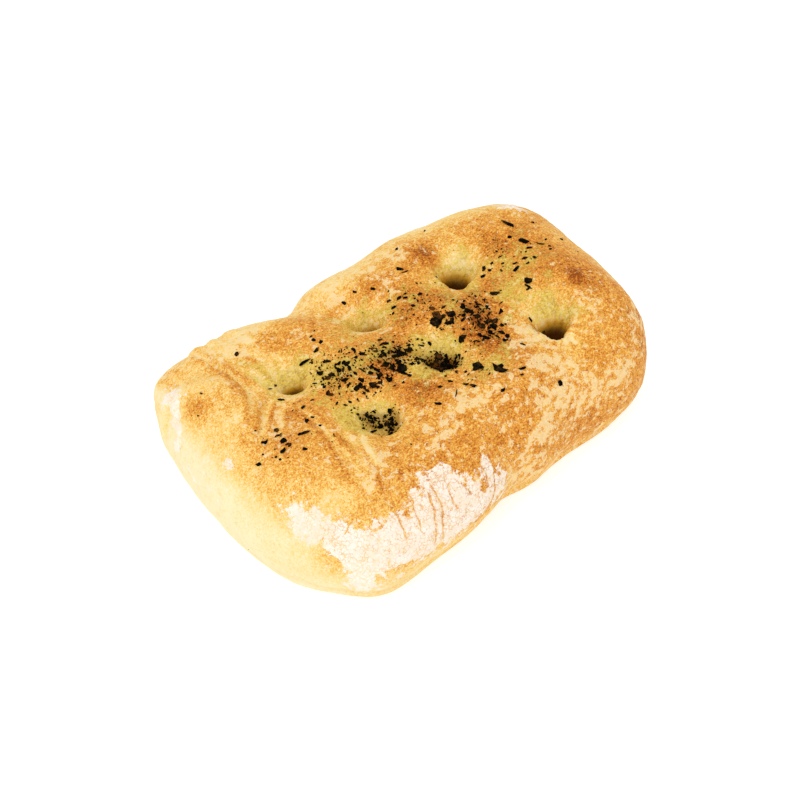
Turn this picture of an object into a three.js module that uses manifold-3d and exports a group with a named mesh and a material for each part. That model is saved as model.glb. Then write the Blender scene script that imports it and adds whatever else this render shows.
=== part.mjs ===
// A roll of Turkish bread: a puffed loaf with a roughly rectangular plan, waisted at both long
// sides, with a plump cushion at its left end, a small knob on the far left corner and six
// fingertip dimples in its top. Dried herb flakes are baked into the oiled top, thickest round
// the middle and in two of the dimples. Loaf and flakes are one solid.
//
// Millimetres, +Z up. X runs along the loaf, the flat underside lies on z = 0, and the origin is
// below the middle of the loaf. The end at -X is the pale one, the side at -Y the floury one.

import * as THREE from 'three';
import { mergeVertices } from 'three/addons/utils/BufferGeometryUtils.js';
import Module from 'manifold-3d';

// ---- driving dimensions, in millimetres and degrees ----

const HALF_LENGTH = 75;
const HALF_WIDTH = 51.5;
const HEIGHT = 39; // at the shoulder, before the crown and the bumps
const CROWN = 3; // the middle stands this much above the shoulder
const RISE_TO_RIGHT = 4; // the right end is taller than the middle by this
const FALL_TO_BACK = -1.8;
const SQUARENESS_LEFT = 3.2; // exponents of the superellipse seen from above
const SQUARENESS_RIGHT = 3.4;
const NARROWING = 0.08; // share by which the right end is narrower

const WIDEST_HEIGHT = 17; // the wall leans out above this height and tucks in below it
const SHOULDER_WIDTH = 27; // how far in from the wall the rounding of the top reaches
const SHOULDER_SQUARENESS = 2.3;
const FOOT_TUCK = 5; // the foot stands this far inside the widest outline
const FOOT_ROUNDING = 2;
const FOOT_GROOVE = { depth: 1.6, height: 5.2, spread: 1.8 }; // above the bead round the foot

// Swellings and hollows of the outline: the direction seen from above, how far round they
// spread, the height of their middle, how far up and down they spread, and how far they reach.
const OUTLINE_BUMPS = {
  backWaist: { at: 111, spread: 12, height: 34, tall: 40, reach: -7.2 },
  frontWaist: { at: -59, spread: 14, height: 20, tall: 60, reach: -3.4 },
  nearCorner: { at: -136, spread: 9, height: 4, tall: 22, reach: 4.1 },
  knob: { at: 144, spread: 7, height: 30, tall: 10, reach: 5 },
  backLump: { at: 39, spread: 6, height: 36, tall: 9, reach: 2 },
  leftCorner: { at: 141, spread: 14, height: 20, tall: 60, reach: 4.2 },
  backCorner: { at: 26, spread: 12, height: 20, tall: 60, reach: 4.6 },
  rightCorner: { at: -35, spread: 12, height: 20, tall: 60, reach: 1.6 },
  backSide: { at: 82, spread: 14, height: 20, tall: 60, reach: -1.3 },
  backSideRight: { at: 57, spread: 10, height: 20, tall: 60, reach: 2.3 },
  leftEnd: { at: 180, spread: 20, height: 20, tall: 60, reach: 2.4 },
  rightEnd: { at: 4, spread: 20, height: 20, tall: 60, reach: 1.6 },
  frontSide: { at: -89, spread: 14, height: 20, tall: 60, reach: -3.5 },
};

// The plump cushion at the left end has a clear inner edge; the other mounds are soft.
const CUSHION = { x: -70, y: 17, rx: 19, ry: 22, rise: 3.5 };
const MOUNDS = [
  { x: -52, y: -13, rx: 14, ry: 11, rise: 2.5 },
  { x: 25, y: 24, rx: 11, ry: 8, rise: 1.5 },
  { x: 53, y: -12, rx: 12, ry: 14, rise: 2 },
  { x: -17, y: 2, rx: 10, ry: 9, rise: 1.5 },
  { x: 16, y: 4, rx: 8, ry: 10, rise: 1.5 },
  { x: 12, y: -34, rx: 14, ry: 9, rise: 1.5 },
];
// Folds between the lobes, each along a straight line.
const FOLDS = [
  { from: [-22, 46], to: [-5, 24], width: 7, depth: 4 },
  { from: [-28, -22], to: [-40, -44], width: 7, depth: 1.5 },
  { from: [-40, 12], to: [-62, -2], width: 6, depth: 1.5 },
];
// Fingertip dimples: a hole of half-lengths rx and ry, turned by turn, in a wide funnel.
const DIMPLES = [
  { x: 28.5, y: 13.5, depth: 11, rx: 4.5, ry: 4.3, turn: 0, funnel: 14 },
  { x: 38, y: -22.5, depth: 11, rx: 4.5, ry: 4.3, turn: 0, funnel: 15 },
  { x: -4.5, y: 17.5, depth: 9, rx: 5, ry: 3.6, turn: -41, funnel: 11 },
  { x: 3.5, y: -9.5, depth: 8, rx: 8, ry: 5.5, turn: -41, funnel: 14 },
  { x: -25.5, y: -15.5, depth: 8.5, rx: 8, ry: 5.5, turn: -41, funnel: 13 },
  { x: -37.5, y: 13.5, depth: 9, rx: 5, ry: 3.6, turn: -41, funnel: 13 },
];
const HOLE_SHARE = 0.6; // of a dimple's depth; the rest is the funnel's
const HOLE_STEEPNESS = 2.6;
const PINCH = 0.35; // how strongly the crust is drawn in towards a dimple

// Herb flakes that show from a step away: [x, y, length, width, turn].
const LARGE_FLAKES = [
  [-11, -7, 5, 3.6, -70], [7.5, -21.5, 4.4, 3.2, -35], [11.5, -27.5, 5, 2.4, -72], [55, 19.5, 5, 1.9, -80],
  [53.5, 9.5, 4.1, 1.8, -65], [9.5, 1, 4.4, 3, -50], [-30, 16.5, 4.4, 1.8, -20], [15, 0, 3.4, 2.8, -30],
  [19.5, -2.5, 3.6, 2.6, -40], [19.5, -10, 3.6, 2.6, -60], [-6.5, -2, 3.4, 2.2, -20], [43, -4.5, 3, 2.7, -80],
  [12, -9, 3, 2.7, 20], [-49, -8, 3.8, 1.3, -40], [-55.5, -5.5, 2.8, 2.2, -60], [-57.5, -9, 2.8, 2.4, -40],
  [-26.5, 1, 3.2, 2, -20], [-21, -6, 3, 2.2, -30], [11.5, 3, 3, 2.6, -70], [23.5, -10.5, 3, 1.8, -30],
  [22.5, -15.5, 2.8, 1.6, -60], [17.5, -14.5, 3, 1.8, -40], [32, -1.5, 3, 1.8, -30], [-11.5, 1, 3, 2, 80],
  [-25, 11, 3, 1.6, -40], [15.5, 26, 3, 1.6, -60], [12.5, -2, 2.6, 1.8, -40], [12, 6, 2.6, 1.6, -80],
  [-25, -3.5, 2.4, 1.9, -45], [-17, 8.5, 2.6, 1.4, 80], [-16.5, 4.5, 2.6, 1.6, -60], [-29.5, 9.5, 2.4, 1.6, -60],
  [43.5, 2, 2.3, 2, 0], [-53.5, 0, 2.3, 1.9, -80], [-64.5, -5.5, 2, 1.8, 0], [48, 3.5, 2.2, 1.3, -20],
  [52.5, 6, 2.4, 1.1, -45], [-25, 17, 2.2, 1.5, 10], [-43.5, 11, 3.2, 1.1, -40], [5, 15.5, 2.2, 1, -10],
  [-32.5, 0, 2.5, 1, -45], [1, -27, 2.2, 1.4, -50], [0, -24.5, 2, 1.3, -60], [-11, -25, 2.2, 1.2, -50],
  [17, -31.5, 2.5, 1.2, -10], [24.5, -2, 2.2, 1, -40], [41.5, -6, 3, 0.9, -70], [-17, -3, 2.2, 1.2, -60],
];
// Patches of middling flakes: an ellipse of half-lengths rx and ry, turned by turn.
const FLAKE_PATCHES = {
  middleDimple: { x: 2.5, y: -11.5, rx: 8, ry: 5, turn: -40, count: 14 },
  frontDimple: { x: -26.5, y: -17, rx: 7, ry: 4.5, turn: -40, count: 10 },
  centreLeft: { x: -20, y: 2, rx: 13, ry: 9, turn: -35, count: 12 },
  centreRight: { x: 15, y: -8, rx: 13, ry: 9, turn: -35, count: 10 },
};
const PATCH_FLAKE = { shortest: 1.3, longest: 2.4, slimness: 0.62 };
const FLAKE_SIDES = 6;
const FLAKE_THICKNESS = 0.8; // half of it stands proud of the crust
const FLAKE_WAVE = 0.12;

// Mesh: rings of the grid from the middle of the top to the foot. The first share of them
// covers the flat of the top, the next the shoulder, and the last the wall below.
const RINGS = 30;
const SHOULDER_STARTS = 0.46;
const WALL_STARTS = 0.83;

// ---- small helpers ----

const toRadians = THREE.MathUtils.degToRad;
const bell = (x) => Math.exp(-x * x);

// A repeatable draw from 0 to 1 for the n-th thing of a kind.
function draw(n, kind) {
  const wave = Math.sin(n * 12.9898 + kind * 78.233) * 43758.5453;
  return wave - Math.floor(wave);
}

// The difference between two directions, from -180 to 180 degrees.
function directionGap(a, b) {
  return THREE.MathUtils.euclideanModulo(a - b + 180, 360) - 180;
}

// The offset of (x, y) from a centre, along and across a direction.
function turnedOffset(x, y, centre) {
  const dx = x - centre.x;
  const dy = y - centre.y;
  const cos = Math.cos(toRadians(centre.turn));
  const sin = Math.sin(toRadians(centre.turn));
  return [dx * cos + dy * sin, -dx * sin + dy * cos];
}

// ---- the loaf ----

// The distance from the axis to the widest outline, before its swellings and hollows.
function outlineRadius(angle) {
  const cos = Math.cos(angle);
  const sin = Math.sin(angle);
  const right = 1 / (1 + Math.exp(-6 * cos));
  const power = SQUARENESS_LEFT * (1 - right) + SQUARENESS_RIGHT * right;
  const halfWidth = HALF_WIDTH * (1 - NARROWING * cos);
  return (Math.abs(cos / HALF_LENGTH) ** power + Math.abs(sin / halfWidth) ** power) ** (-1 / power);
}

// A length measured square to the outline is this much longer along the radius.
function radialStretch(angle) {
  const step = 0.001;
  const slope = (outlineRadius(angle + step) - outlineRadius(angle - step)) / (2 * step * outlineRadius(angle));
  return THREE.MathUtils.clamp(Math.hypot(1, slope), 1, 1.35);
}

function outlineBump(angle, height) {
  let reach = 0;
  for (const bump of Object.values(OUTLINE_BUMPS)) {
    const round = directionGap(THREE.MathUtils.radToDeg(angle), bump.at) / bump.spread;
    reach += bump.reach * bell(round) * bell((height - bump.height) / bump.tall);
  }
  return reach;
}

function distanceToFold(x, y, fold) {
  const line = new THREE.Line3(new THREE.Vector3(...fold.from, 0), new THREE.Vector3(...fold.to, 0));
  const point = new THREE.Vector3(x, y, 0);
  return line.closestPointToPoint(point, true, new THREE.Vector3()).distanceTo(point);
}

// The height of the top at (x, y), where edge is the distance from the axis as a share of the
// outline's.
function topHeight(x, y, edge) {
  let height = HEIGHT + RISE_TO_RIGHT * x / HALF_LENGTH + FALL_TO_BACK * y / 50 + CROWN * (1 - edge * edge);
  const fromCushion = Math.hypot((x - CUSHION.x) / CUSHION.rx, (y - CUSHION.y) / CUSHION.ry);
  height += CUSHION.rise * THREE.MathUtils.smoothstep(-fromCushion, -1.15, -0.75);
  for (const mound of MOUNDS) {
    height += mound.rise * bell((x - mound.x) / mound.rx) * bell((y - mound.y) / mound.ry);
  }
  for (const fold of FOLDS) {
    height -= fold.depth * bell(distanceToFold(x, y, fold) / fold.width);
  }
  for (const dimple of DIMPLES) {
    const [along, across] = turnedOffset(x, y, dimple);
    const hole = Math.exp(-(Math.hypot(along / dimple.rx, across / dimple.ry) ** HOLE_STEEPNESS));
    const funnel = bell(Math.hypot(along, across) / dimple.funnel);
    height -= dimple.depth * (HOLE_SHARE * hole + (1 - HOLE_SHARE) * funnel);
  }
  return height;
}

// Moves a point towards the dimples near it, as the crust is drawn in by a fingertip.
function drawIn(x, y) {
  let drawnX = x;
  let drawnY = y;
  for (const dimple of DIMPLES) {
    const pull = PINCH * bell(Math.hypot(x - dimple.x, y - dimple.y) / (0.9 * dimple.funnel));
    drawnX -= (x - dimple.x) * pull;
    drawnY -= (y - dimple.y) * pull;
  }
  return [drawnX, drawnY];
}

// The direction of the grid point (i, j): its place along the edge of a square, carried to the
// edge of the loaf's rectangle.
function gridDirection(i, j) {
  return Math.atan2(j * HALF_WIDTH, i * HALF_LENGTH);
}

// A point of the surface. The grid is square, and its square rings become the loaf's rings,
// from the middle of the top (ring 0) out over the shoulder and down the wall to the foot.
function loafPoint(i, j) {
  const share = Math.max(Math.abs(i), Math.abs(j)) / RINGS;
  const angle = gridDirection(i, j);
  const radius = outlineRadius(angle);
  const stretch = radialStretch(angle);
  const onWall = share > WALL_STARTS;
  const down = onWall ? (share - WALL_STARTS) / (1 - WALL_STARTS) : 0;
  const turn = THREE.MathUtils.clamp((share - SHOULDER_STARTS) / (WALL_STARTS - SHOULDER_STARTS), 0, 1) * Math.PI / 2;
  const power = 2 / SHOULDER_SQUARENESS;
  const up = share < SHOULDER_STARTS ? 1 : Math.abs(Math.cos(turn)) ** power;
  const wallHeight = WIDEST_HEIGHT * (1 - down);

  let r = radius - stretch * SHOULDER_WIDTH * (1 - Math.sin(turn) ** power);
  if (share < SHOULDER_STARTS) r = (radius - stretch * SHOULDER_WIDTH) * share / SHOULDER_STARTS;
  if (onWall) r = radius - stretch * FOOT_TUCK * (1 - Math.cos(down * Math.PI / 2));
  const nominalHeight = onWall ? wallHeight : WIDEST_HEIGHT + (HEIGHT - WIDEST_HEIGHT) * up;
  r += outlineBump(angle, nominalHeight) * THREE.MathUtils.smoothstep(share, 0.35, 0.78);
  if (onWall) {
    r -= stretch * FOOT_GROOVE.depth * bell((wallHeight - FOOT_GROOVE.height) / FOOT_GROOVE.spread);
    const belowRounding = Math.max(0, 1 - wallHeight / FOOT_ROUNDING);
    r -= stretch * FOOT_ROUNDING * (1 - Math.sqrt(1 - belowRounding ** 2));
  }

  const [x, y] = drawIn(r * Math.cos(angle), r * Math.sin(angle));
  const z = onWall ? wallHeight : WIDEST_HEIGHT + (topHeight(x, y, r / radius) - WIDEST_HEIGHT) * up;
  return new THREE.Vector3(x, y, z);
}

// The grid point n steps round the foot, counter-clockwise from the middle of the right end.
function footPoint(n) {
  const around = THREE.MathUtils.euclideanModulo(n + RINGS, 8 * RINGS);
  const along = around % (2 * RINGS) - RINGS;
  const sides = [[RINGS, along], [-along, RINGS], [-RINGS, -along], [along, -RINGS]];
  return loafPoint(...sides[Math.floor(around / (2 * RINGS))]);
}

// Splits each square of a plane's grid along its shorter diagonal, which keeps the sides of
// the dimples smooth.
function splitAlongShorterDiagonal(plane) {
  const points = plane.getAttribute('position');
  const corner = (n) => new THREE.Vector3().fromBufferAttribute(points, n);
  const index = plane.index.array;
  for (let n = 0; n < index.length; n += 6) {
    const [a, b, d, , c] = index.slice(n, n + 5);
    if (corner(a).distanceTo(corner(c)) < corner(b).distanceTo(corner(d))) {
      index.set([a, b, c, a, c, d], n);
    }
  }
}

// The closed loaf: a plane's grid bent over the top and walls, and a disc across the foot.
function loafGeometry() {
  const columns = 2 * RINGS + 1;
  const top = new THREE.PlaneGeometry(1, 1, 2 * RINGS, 2 * RINGS);
  const topPoints = top.getAttribute('position');
  for (let n = 0; n < topPoints.count; n++) {
    const point = loafPoint(n % columns - RINGS, RINGS - Math.floor(n / columns));
    topPoints.setXYZ(n, point.x, point.y, point.z);
  }
  splitAlongShorterDiagonal(top);
  const base = new THREE.CircleGeometry(1, 8 * RINGS);
  const basePoints = base.getAttribute('position');
  for (let n = 1; n < basePoints.count; n++) {
    const point = footPoint(1 - n); // clockwise, so that the disc faces down
    basePoints.setXYZ(n, point.x, point.y, point.z);
  }
  return joinGeometries(top, base);
}

// Two geometries with position only, as one closed geometry with shared vertices.
function joinGeometries(first, second) {
  const positions = [...first.getAttribute('position').array, ...second.getAttribute('position').array];
  const offset = first.getAttribute('position').count;
  const indices = [...first.index.array, ...Array.from(second.index.array, (n) => n + offset)];
  const joined = new THREE.BufferGeometry();
  joined.setAttribute('position', new THREE.Float32BufferAttribute(positions, 3));
  joined.setIndex(indices);
  return mergeVertices(joined);
}

// Moves the loaf so that the middle of its box is above the origin.
function centreOnBase(geometry) {
  geometry.computeBoundingBox();
  const middle = geometry.boundingBox.getCenter(new THREE.Vector3());
  geometry.translate(-middle.x, -middle.y, 0);
}

// ---- herb flakes ----

// A thin uneven tile with FLAKE_SIDES corners, standing half its thickness either side of z = 0.
function flakeGeometry(length, width, seed) {
  const corners = [];
  for (let n = 0; n < FLAKE_SIDES; n++) {
    const angle = 2 * Math.PI * (n + 0.5 * draw(seed, n)) / FLAKE_SIDES;
    const reach = 0.78 + 0.34 * draw(seed, n + 20);
    corners.push(new THREE.Vector2(Math.cos(angle) * reach * length / 2, Math.sin(angle) * reach * width / 2));
  }
  const flake = new THREE.ExtrudeGeometry(new THREE.Shape(corners), { depth: FLAKE_THICKNESS, bevelEnabled: false });
  flake.deleteAttribute('normal');
  flake.deleteAttribute('uv');
  const points = flake.getAttribute('position');
  for (let n = 0; n < points.count; n++) {
    const wave = FLAKE_WAVE * Math.sin(2.4 * points.getX(n) + seed) + FLAKE_WAVE * Math.cos(2.9 * points.getY(n));
    points.setZ(n, points.getZ(n) - FLAKE_THICKNESS / 2 + wave);
  }
  return mergeVertices(flake);
}

// Every flake as [x, y, length, width, turn]. A patch is filled along a sunflower spiral, whose
// points are evenly spread, and each point is then moved and sized by a repeatable draw.
function listFlakes() {
  const flakes = [...LARGE_FLAKES];
  const goldenAngle = Math.PI * (3 - Math.sqrt(5));
  Object.values(FLAKE_PATCHES).forEach((patch, kind) => {
    const turn = toRadians(patch.turn);
    for (let n = 0; n < patch.count; n++) {
      const out = Math.sqrt((n + 0.5) / patch.count);
      const along = patch.rx * out * Math.cos(n * goldenAngle) + draw(n, kind + 1) - 0.5;
      const across = patch.ry * out * Math.sin(n * goldenAngle) + draw(n, kind + 11) - 0.5;
      const x = patch.x + along * Math.cos(turn) - across * Math.sin(turn);
      const y = patch.y + along * Math.sin(turn) + across * Math.cos(turn);
      const length = THREE.MathUtils.lerp(PATCH_FLAKE.shortest, PATCH_FLAKE.longest, draw(n, kind + 21));
      flakes.push([x, y, length, length * PATCH_FLAKE.slimness, 360 * draw(n, kind + 31)]);
    }
  });
  return flakes;
}

// Lays a flake on the loaf: its middle on the crust below (x, y), flat against the crust.
function layFlake(crust, [x, y, length, width, turn], seed) {
  const above = new THREE.Raycaster(new THREE.Vector3(x, y, 2 * HEIGHT), new THREE.Vector3(0, 0, -1));
  const hit = above.intersectObject(crust)[0];
  const normal = hit.face.normal;
  const along = new THREE.Vector3(Math.cos(toRadians(turn)), Math.sin(toRadians(turn)), 0);
  along.addScaledVector(normal, -along.dot(normal)).normalize();
  const across = new THREE.Vector3().crossVectors(normal, along);
  const place = new THREE.Matrix4().makeBasis(along, across, normal).setPosition(hit.point);
  return flakeGeometry(length, width, seed).applyMatrix4(place);
}

// ---- joining ----

const wasm = await Module();
wasm.setup();

function toSolid(geometry) {
  return new wasm.Manifold(new wasm.Mesh({
    numProp: 3,
    vertProperties: new Float32Array(geometry.getAttribute('position').array),
    triVerts: new Uint32Array(geometry.index.array),
  }));
}

function toGeometry(solid) {
  const mesh = solid.getMesh();
  const geometry = new THREE.BufferGeometry();
  geometry.setAttribute('position', new THREE.BufferAttribute(mesh.vertProperties, mesh.numProp));
  geometry.setIndex(new THREE.BufferAttribute(mesh.triVerts, 1));
  geometry.computeVertexNormals();
  return geometry;
}

function breadGeometry() {
  const loaf = loafGeometry();
  const crust = new THREE.Mesh(loaf);
  let solid = toSolid(loaf);
  listFlakes().forEach((flake, seed) => {
    solid = solid.add(toSolid(layFlake(crust, flake, seed)));
  });
  const bread = toGeometry(solid);
  centreOnBase(bread);
  return bread;
}

// ---- the model ----

const goldenCrust = new THREE.MeshStandardMaterial({ color: 0xdda75c, roughness: 0.75, metalness: 0 });

const bread = new THREE.Mesh(breadGeometry(), goldenCrust);
bread.name = 'bread';

const turkishBread = new THREE.Group();
turkishBread.add(bread);

export default turkishBread;
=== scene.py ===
"""A loaf of Turkish bread: a puffed, dimpled crust, browned and floured, with herb flakes baked on.

The loaf is one closed surface, worked out over a square grid from the same named sizes as the
solid that it stands for. Shapes are worked out in millimetres and written to the meshes in metres.
"""

from collections import namedtuple
from functools import reduce

import bpy
import numpy as np
from bpy.props import FloatProperty, FloatVectorProperty, IntProperty, PointerProperty
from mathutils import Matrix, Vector


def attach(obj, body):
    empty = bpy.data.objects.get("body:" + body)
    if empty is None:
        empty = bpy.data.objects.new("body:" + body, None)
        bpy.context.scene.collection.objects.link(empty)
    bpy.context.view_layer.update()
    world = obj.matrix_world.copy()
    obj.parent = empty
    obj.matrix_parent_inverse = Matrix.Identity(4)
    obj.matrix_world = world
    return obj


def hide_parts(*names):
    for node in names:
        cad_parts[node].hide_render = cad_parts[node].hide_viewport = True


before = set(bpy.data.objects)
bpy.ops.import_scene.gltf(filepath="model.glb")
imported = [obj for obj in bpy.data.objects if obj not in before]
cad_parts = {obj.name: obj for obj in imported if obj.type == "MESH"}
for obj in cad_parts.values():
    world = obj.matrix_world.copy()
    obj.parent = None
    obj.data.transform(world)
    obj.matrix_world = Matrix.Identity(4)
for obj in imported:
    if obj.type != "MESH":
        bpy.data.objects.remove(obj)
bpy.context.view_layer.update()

bl_info = {
    "name": "Turkish Bread",
    "version": (1, 0, 0),
    "blender": (4, 5, 0),
    "location": "3D View > Sidebar > Turkish Bread",
    "description": "Builds a puffed, dimpled loaf of Turkish bread with flour and baked-on herbs",
    "category": "Add Mesh",
}

MM = 0.001

# ---- the loaf's sizes, in millimetres and degrees, as in the solid ----

HALF_LENGTH = 75
HALF_WIDTH = 51.5
HEIGHT = 39  # at the shoulder, before the crown and the bumps
CROWN = 3  # the middle stands this much above the shoulder
RISE_TO_RIGHT = 4  # the right end is taller than the middle by this
FALL_TO_BACK = -1.8  # and the crust 50 mm behind the middle by this
SQUARENESS_LEFT = 3.2  # exponents of the superellipse seen from above
SQUARENESS_RIGHT = 3.4
NARROWING = 0.08  # share by which the right end is narrower

WIDEST_HEIGHT = 17  # the wall leans out above this height and tucks in below it
SHOULDER_WIDTH = 27  # how far in from the wall the rounding of the top reaches
SHOULDER_SQUARENESS = 2.3
FOOT_TUCK = 5  # the foot stands this far inside the widest outline
FOOT_ROUNDING = 2
FOOT_GROOVE_DEPTH = 1.6  # the groove above the bead round the foot
FOOT_GROOVE_HEIGHT = 5.2
FOOT_GROOVE_SPREAD = 1.8

# Swellings and hollows of the outline: (direction, spread round, height, spread up and down, reach).
OUTLINE_BUMPS = {
    "back_waist": (111, 12, 34, 40, -7.2),
    "front_waist": (-59, 14, 20, 60, -3.4),
    "near_corner": (-136, 9, 4, 22, 4.1),
    "knob": (144, 7, 30, 10, 5),
    "back_lump": (39, 6, 36, 9, 2),
    "left_corner": (141, 14, 20, 60, 4.2),
    "back_corner": (26, 12, 20, 60, 4.6),
    "right_corner": (-35, 12, 20, 60, 1.6),
    "back_side": (82, 14, 20, 60, -1.3),
    "back_side_right": (57, 10, 20, 60, 2.3),
    "left_end": (180, 20, 20, 60, 2.4),
    "right_end": (4, 20, 20, 60, 1.6),
    "front_side": (-89, 14, 20, 60, -3.5),
}
# The plump left end: a step in height between an inner and an outer share of an ellipse.
CUSHION = {"x": -70, "y": 17, "rx": 19, "ry": 22, "rise": 3.5, "inner": 0.75, "outer": 1.15}
# Soft mounds: (x, y, half-length, half-width, rise).
MOUNDS = [
    (-52, -13, 14, 11, 2.5),
    (25, 24, 11, 8, 1.5),
    (53, -12, 12, 14, 2),
    (-17, 2, 10, 9, 1.5),
    (16, 4, 8, 10, 1.5),
    (12, -34, 14, 9, 1.5),
]
# Folds between the lobes: (from x, from y, to x, to y, width, depth).
FOLDS = [
    (-22, 46, -5, 24, 7, 4),
    (-28, -22, -40, -44, 7, 1.5),
    (-40, 12, -62, -2, 6, 1.5),
]
# Fingertip dimples, each a steep hole in the middle of a wide funnel.
Dimple = namedtuple("Dimple", "x y depth half_length half_width turn funnel")
DIMPLES = {
    "back_right": Dimple(28.5, 13.5, 11, 4.5, 4.3, 0, 14),
    "front_right": Dimple(38, -22.5, 11, 4.5, 4.3, 0, 15),
    "back_middle": Dimple(-4.5, 17.5, 9, 5, 3.6, -41, 11),
    "middle": Dimple(3.5, -9.5, 8, 8, 5.5, -41, 14),
    "front": Dimple(-25.5, -15.5, 8.5, 8, 5.5, -41, 13),
    "back_left": Dimple(-37.5, 13.5, 9, 5, 3.6, -41, 13),
}
HOLE_SHARE = 0.6  # of a dimple's depth
FUNNEL_SHARE = 0.4
HOLE_STEEPNESS = 2.6
PINCH = 0.35  # how strongly the crust is drawn in towards a dimple
PINCH_REACH = 0.9  # of its funnel's reach

# ---- what the crust has beyond the solid ----

# The crust's holes are shallower than the solid's, and a narrower pit is pushed into each. It is steep
# on the side to which the fingertip pushed it, and leans that way. The far side is longer by a share
# and has its own steepness. Darkness (darkness) is the strength of the oil tint and the painted
# shade that darken each pit the deeper it goes, and creases says how strongly its creases show.
Pit = namedtuple(
    "Pit", "x y depth half_length half_width lean steep_side stretch far_steepness darkness creases"
)
PITS = {
    "back_right": Pit(27.7, 12.5, 15, 2.3, 2.3, 3, -125, 1.7, 1.3, 1, 0.5),
    "front_right": Pit(37.6, -23.6, 15, 2.4, 2.2, 3, -112, 1.7, 1.3, 1, 1.1),
    "back_middle": Pit(-4.7, 17.2, 11, 3.7, 2.3, 2.4, -129, 0.5, 2.4, 0.6, 0.1),
    "middle": Pit(1.8, -11.6, 8, 2.9, 2.1, 2, -122, 1, 1.5, 0.9, 0.5),
    "front": Pit(-27.4, -17.8, 7, 4, 2.6, 2, -129, 0.8, 1.8, 0.12, 0.5),
    "back_left": Pit(-36.6, 12.2, 9, 2.4, 1.4, 2.8, -98, 0.8, 1.5, 0.85, 0.6),
}
SHALLOW_HOLE_SHARE = 0.12  # takes the place of HOLE_SHARE
PIT_STEEPNESS = 3.6  # of the steep side
PIT_PINCH = 0.36  # how strongly the crust is drawn in towards a dimple's pit, and over what reach
PIT_REACH = 7
PIT_SHADE_FROM = 0.16  # oil tint and painted shade darken a pit between these shares of its depth
PIT_SHADE_AT = 0.46
OILY_FUNNEL = 0.62  # reach of the pale oily crust round a dimple, as a share of its funnel's
OILY_FUNNEL_OFFSET = 2.5  # it lies this far from the dimple, away from the steep side

# The foot is drawn in under the front, about a direction and a height.
FOOT_PULL = {"direction": -100, "spread": 34, "height": 3, "tall": 9, "reach": 1.9}

# Shares of the grid's rings at which the shoulder and the wall start.
SHOULDER_STARTS = 0.46
WALL_STARTS = 0.83
SWELLINGS_START = 0.35  # the outline's swellings come in between these shares
SWELLINGS_FULL = 0.78
MOST_OBLIQUE = 1.35  # limit to how much wider the shoulder gets where the outline is oblique
SOLID_RINGS = 30
CRUST_RINGS = 150
CRUST_COLUMNS = 2 * CRUST_RINGS + 1
UNDERSIDE_SHARES = (0.985, 0.94, 0.8, 0.55, 0.25)  # sizes of the rings across the underside
UNDERSIDE_ARCH = 0.3  # how high the underside stands over the foot

# ---- what the oven, the oil and the flour did, by place seen from above, in millimetres ----

# How brown the crust is along X, before the patches below: (x, browning from 0 to 1).
BROWNING_ALONG = [
    (-78, 0.14), (-70, 0.38), (-60, 0.47), (-45, 0.56), (-20, 0.67), (20, 0.7), (60, 0.67), (78, 0.7),
]
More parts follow.
